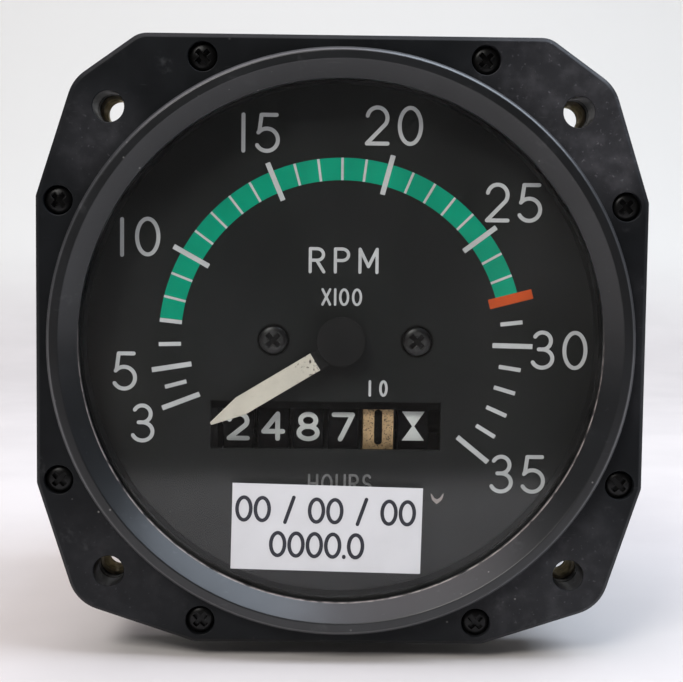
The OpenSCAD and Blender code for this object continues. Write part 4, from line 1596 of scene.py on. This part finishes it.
@dataclass
class RearCase:
    """The round case with its screws, the nut and the threaded cable neck."""

    edges: dict[str, float] = field(default_factory=lambda: {
        "case": 0.25 * MM, "tie_screws": 0.08 * MM, "neck_nut": 0.2 * MM,
    })
    thread_r: float = 11.11 * MM
    thread_pitch: float = 1.411 * MM
    thread_depth: float = 0.6 * MM
    wall: float = 3.0 * MM
    relief_w: float = 0.8 * MM
    bore_r: float = 6.0 * MM
    end_edge: float = 0.8 * MM

    @property
    def nodes(self) -> list[str]:
        """The nodes that keep their own shape."""
        return list(self.edges)

    def build(self, palette: Palette) -> None:
        """Dresses the nodes, rounds their edges and cuts the neck's thread.

        Args:
            palette: The materials.
        """
        palette.dress(*self.nodes)
        for node, width in self.edges.items():
            soften(node, width)
        self.neck(palette)

    def neck(self, palette: Palette) -> None:
        """Turns the neck, with its flange, relief and bore, and cuts a thread on it.

        Args:
            palette: The materials.
        """
        low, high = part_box("cable_neck")
        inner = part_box("case")[1].y - self.wall
        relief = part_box("neck_nut")[1].y
        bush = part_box("rear_bush")[1]
        root_r = self.thread_r - self.thread_depth
        ring = Turning(self.thread_pitch, self.thread_depth)
        ring.plain(
            (bush.x, low.y), (high.x, low.y), (high.x, inner), (self.thread_r, inner),
            (self.thread_r, relief), (root_r, relief), (root_r, relief + self.relief_w),
        )
        ring.thread(self.thread_r, relief + self.relief_w, high.y - self.end_edge)
        ring.plain(
            (self.thread_r - self.end_edge, high.y), (self.bore_r, high.y), (self.bore_r, bush.y),
            (bush.x, bush.y),
        )
        points, faces = ring.mesh((0.0, 0.0))
        slot = palette.slots["cable_neck"]
        look = palette.materials[slot]
        piece = make_piece("threaded_neck", points, faces, "housing", look)
        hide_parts("cable_neck")


@dataclass(frozen=True)
class Lamp:
    """A soft square lamp that points at the dial's middle."""

    name: str
    place: tuple[float, float, float]
    size: float
    power: float
    tint: Colour

    def hang(self) -> None:
        """Hangs the lamp in the scene."""
        light = bpy.data.lights.new(self.name, "AREA")
        light.size = self.size
        light.energy = self.power
        light.color = self.tint
        made = bpy.data.objects.new(self.name, light)
        made.location = self.place
        made.rotation_euler = (-Vector(self.place)).to_track_quat("-Z", "Y").to_euler()
        bpy.context.scene.collection.objects.link(made)


@dataclass
class Studio:
    """Floor, soft light and the camera at the photograph's angle."""

    eye: Vector = field(default_factory=lambda: Vector((-1.571, -179.506, 13.239)) * MM)
    pitch: float = math.radians(-4.09)
    yaw: float = math.radians(-0.46)
    roll: float = math.radians(-0.69)
    lens: float = 70.25
    sensor_w: float = 36.0
    nearest: float = 0.005
    gap: float = 2.3 * MM
    floor_half: float = 2.5
    bend_y: float = 0.35
    bend_r: float = 0.4
    backdrop_z: float = 1.6
    floor_look: FadingCard = FadingCard(
        (0.66, 0.625, 0.61), roughness=0.75, drift=0.03, drift_size=30.0, grain_depth=0.0,
        top=(0.81, 0.8, 0.765), fade=(-42.0, 20.0),
    )
    card_y: float = -140 * MM
    card_half: float = 0.5
    card_high: float = 0.3
    card_look: FadingCard = FadingCard(
        (0.125, 0.107, 0.093), roughness=0.9, drift=0.6, drift_size=110.0
    )
    sky: float = 0.12
    sky_tint: Colour = (0.97, 0.98, 1.0)
    lamps: tuple[Lamp, ...] = (
        Lamp("sky_light", (0.33, -0.03, 0.57), 0.54, 5.2, (0.76, 0.86, 1.0)),
        Lamp("wall_light", (-0.2, -0.06, 0.63), 0.65, 3.0, (1.0, 0.93, 0.98)),
        Lamp("key_light", (-0.5, -0.99, 0.9), 0.45, 10.6, (1.0, 0.98, 0.94)),
    )

    def build(self) -> None:
        """Makes the stage, the lights and the camera."""
        self.sweep()
        self.card()
        self.world()
        for lamp in self.lamps:
            lamp.hang()
        self.camera()
        bpy.context.scene.view_settings.view_transform = "Standard"

    def sheet(
        self, name: str, profile: Sequence[Point], half: float, material: bpy.types.Material
    ) -> bpy.types.Object:
        """Makes a stage sheet that runs straight along X.

        Args:
            name: The sheet's name.
            profile: Its section, as Y and Z.
            half: Half its width.
            material: Its material.

        Returns:
            The sheet.
        """
        points = [(side * half, y, z) for y, z in profile for side in (-1, 1)]
        faces = [(i, i + 1, i + 3, i + 2) for i in range(0, len(points) - 2, 2)]
        mesh = bpy.data.meshes.new(name)
        mesh.from_pydata(points, [], faces)
        mesh.polygons.foreach_set("use_smooth", [True] * len(faces))
        mesh.materials.append(material)
        made = bpy.data.objects.new(name, mesh)
        bpy.context.scene.collection.objects.link(made)
        return made

    def sweep(self) -> None:
        """Lays the pale floor, which bends up into the backdrop."""
        under = CAD_BOX[0].z - self.gap
        wall_y = self.bend_y + self.bend_r
        bend = Arc(self.bend_y, under + self.bend_r, self.bend_r, self.bend_r, -90, 0)
        profile = [(-self.floor_half, under), *bend.points(), (wall_y, self.backdrop_z)]
        self.sheet("floor", profile, self.floor_half, self.floor_look.material("floor_white"))

    def card(self) -> None:
        """Stands a dim card in front, which only glossy surfaces see."""
        profile = [(self.card_y, CAD_BOX[0].z - self.gap), (self.card_y, self.card_high)]
        look = self.card_look.material("card_dim")
        card = self.sheet("dim_card", profile, self.card_half, look)
        card.visible_camera = False
        card.visible_diffuse = False
        card.visible_shadow = False
        card.visible_transmission = False

    def world(self) -> None:
        """Fills the room with a weak even light."""
        world = bpy.data.worlds.new("studio")
        world.use_nodes = True
        sky = next(n for n in world.node_tree.nodes if n.type == "BACKGROUND")
        sky.inputs["Color"].default_value = (*self.sky_tint, 1.0)
        sky.inputs["Strength"].default_value = self.sky
        bpy.context.scene.world = world

    def camera(self) -> None:
        """Places the camera where the photograph was taken from."""
        turn = (
            Matrix.Rotation(self.pitch, 3, "X")
            @ Matrix.Rotation(self.yaw, 3, "Y")
            @ Matrix.Rotation(self.roll, 3, "Z")
        )
        right, up, ahead = (Vector((row.x, row.z, row.y)) for row in turn)
        aim = Matrix((right, up, -ahead)).transposed().to_4x4()
        data = bpy.data.cameras.new("camera")
        data.lens = self.lens
        data.sensor_width = self.sensor_w
        data.clip_start = self.nearest
        camera = bpy.data.objects.new("camera", data)
        camera.matrix_world = Matrix.Translation(self.eye) @ aim
        bpy.context.scene.collection.objects.link(camera)
        bpy.context.scene.camera = camera


def main() -> None:
    """Builds the sub-assemblies in order, then the stage."""
    logging.basicConfig(level=logging.INFO, format="%(name)s: %(message)s")
    palette = Palette(slot_finishes() | added_finishes())
    assemblies = (Bezel(), Glazing(), DialFace(), PointerSet(), HourCounter(), RearCase())
    for assembly in assemblies:
        assembly.build(palette)
    done = [node for assembly in assemblies for node in assembly.nodes]
    Movement().build(palette, [*done, "cable_neck", "mount_inserts"])
    Studio().build()


if __name__ == "__main__":
    main()
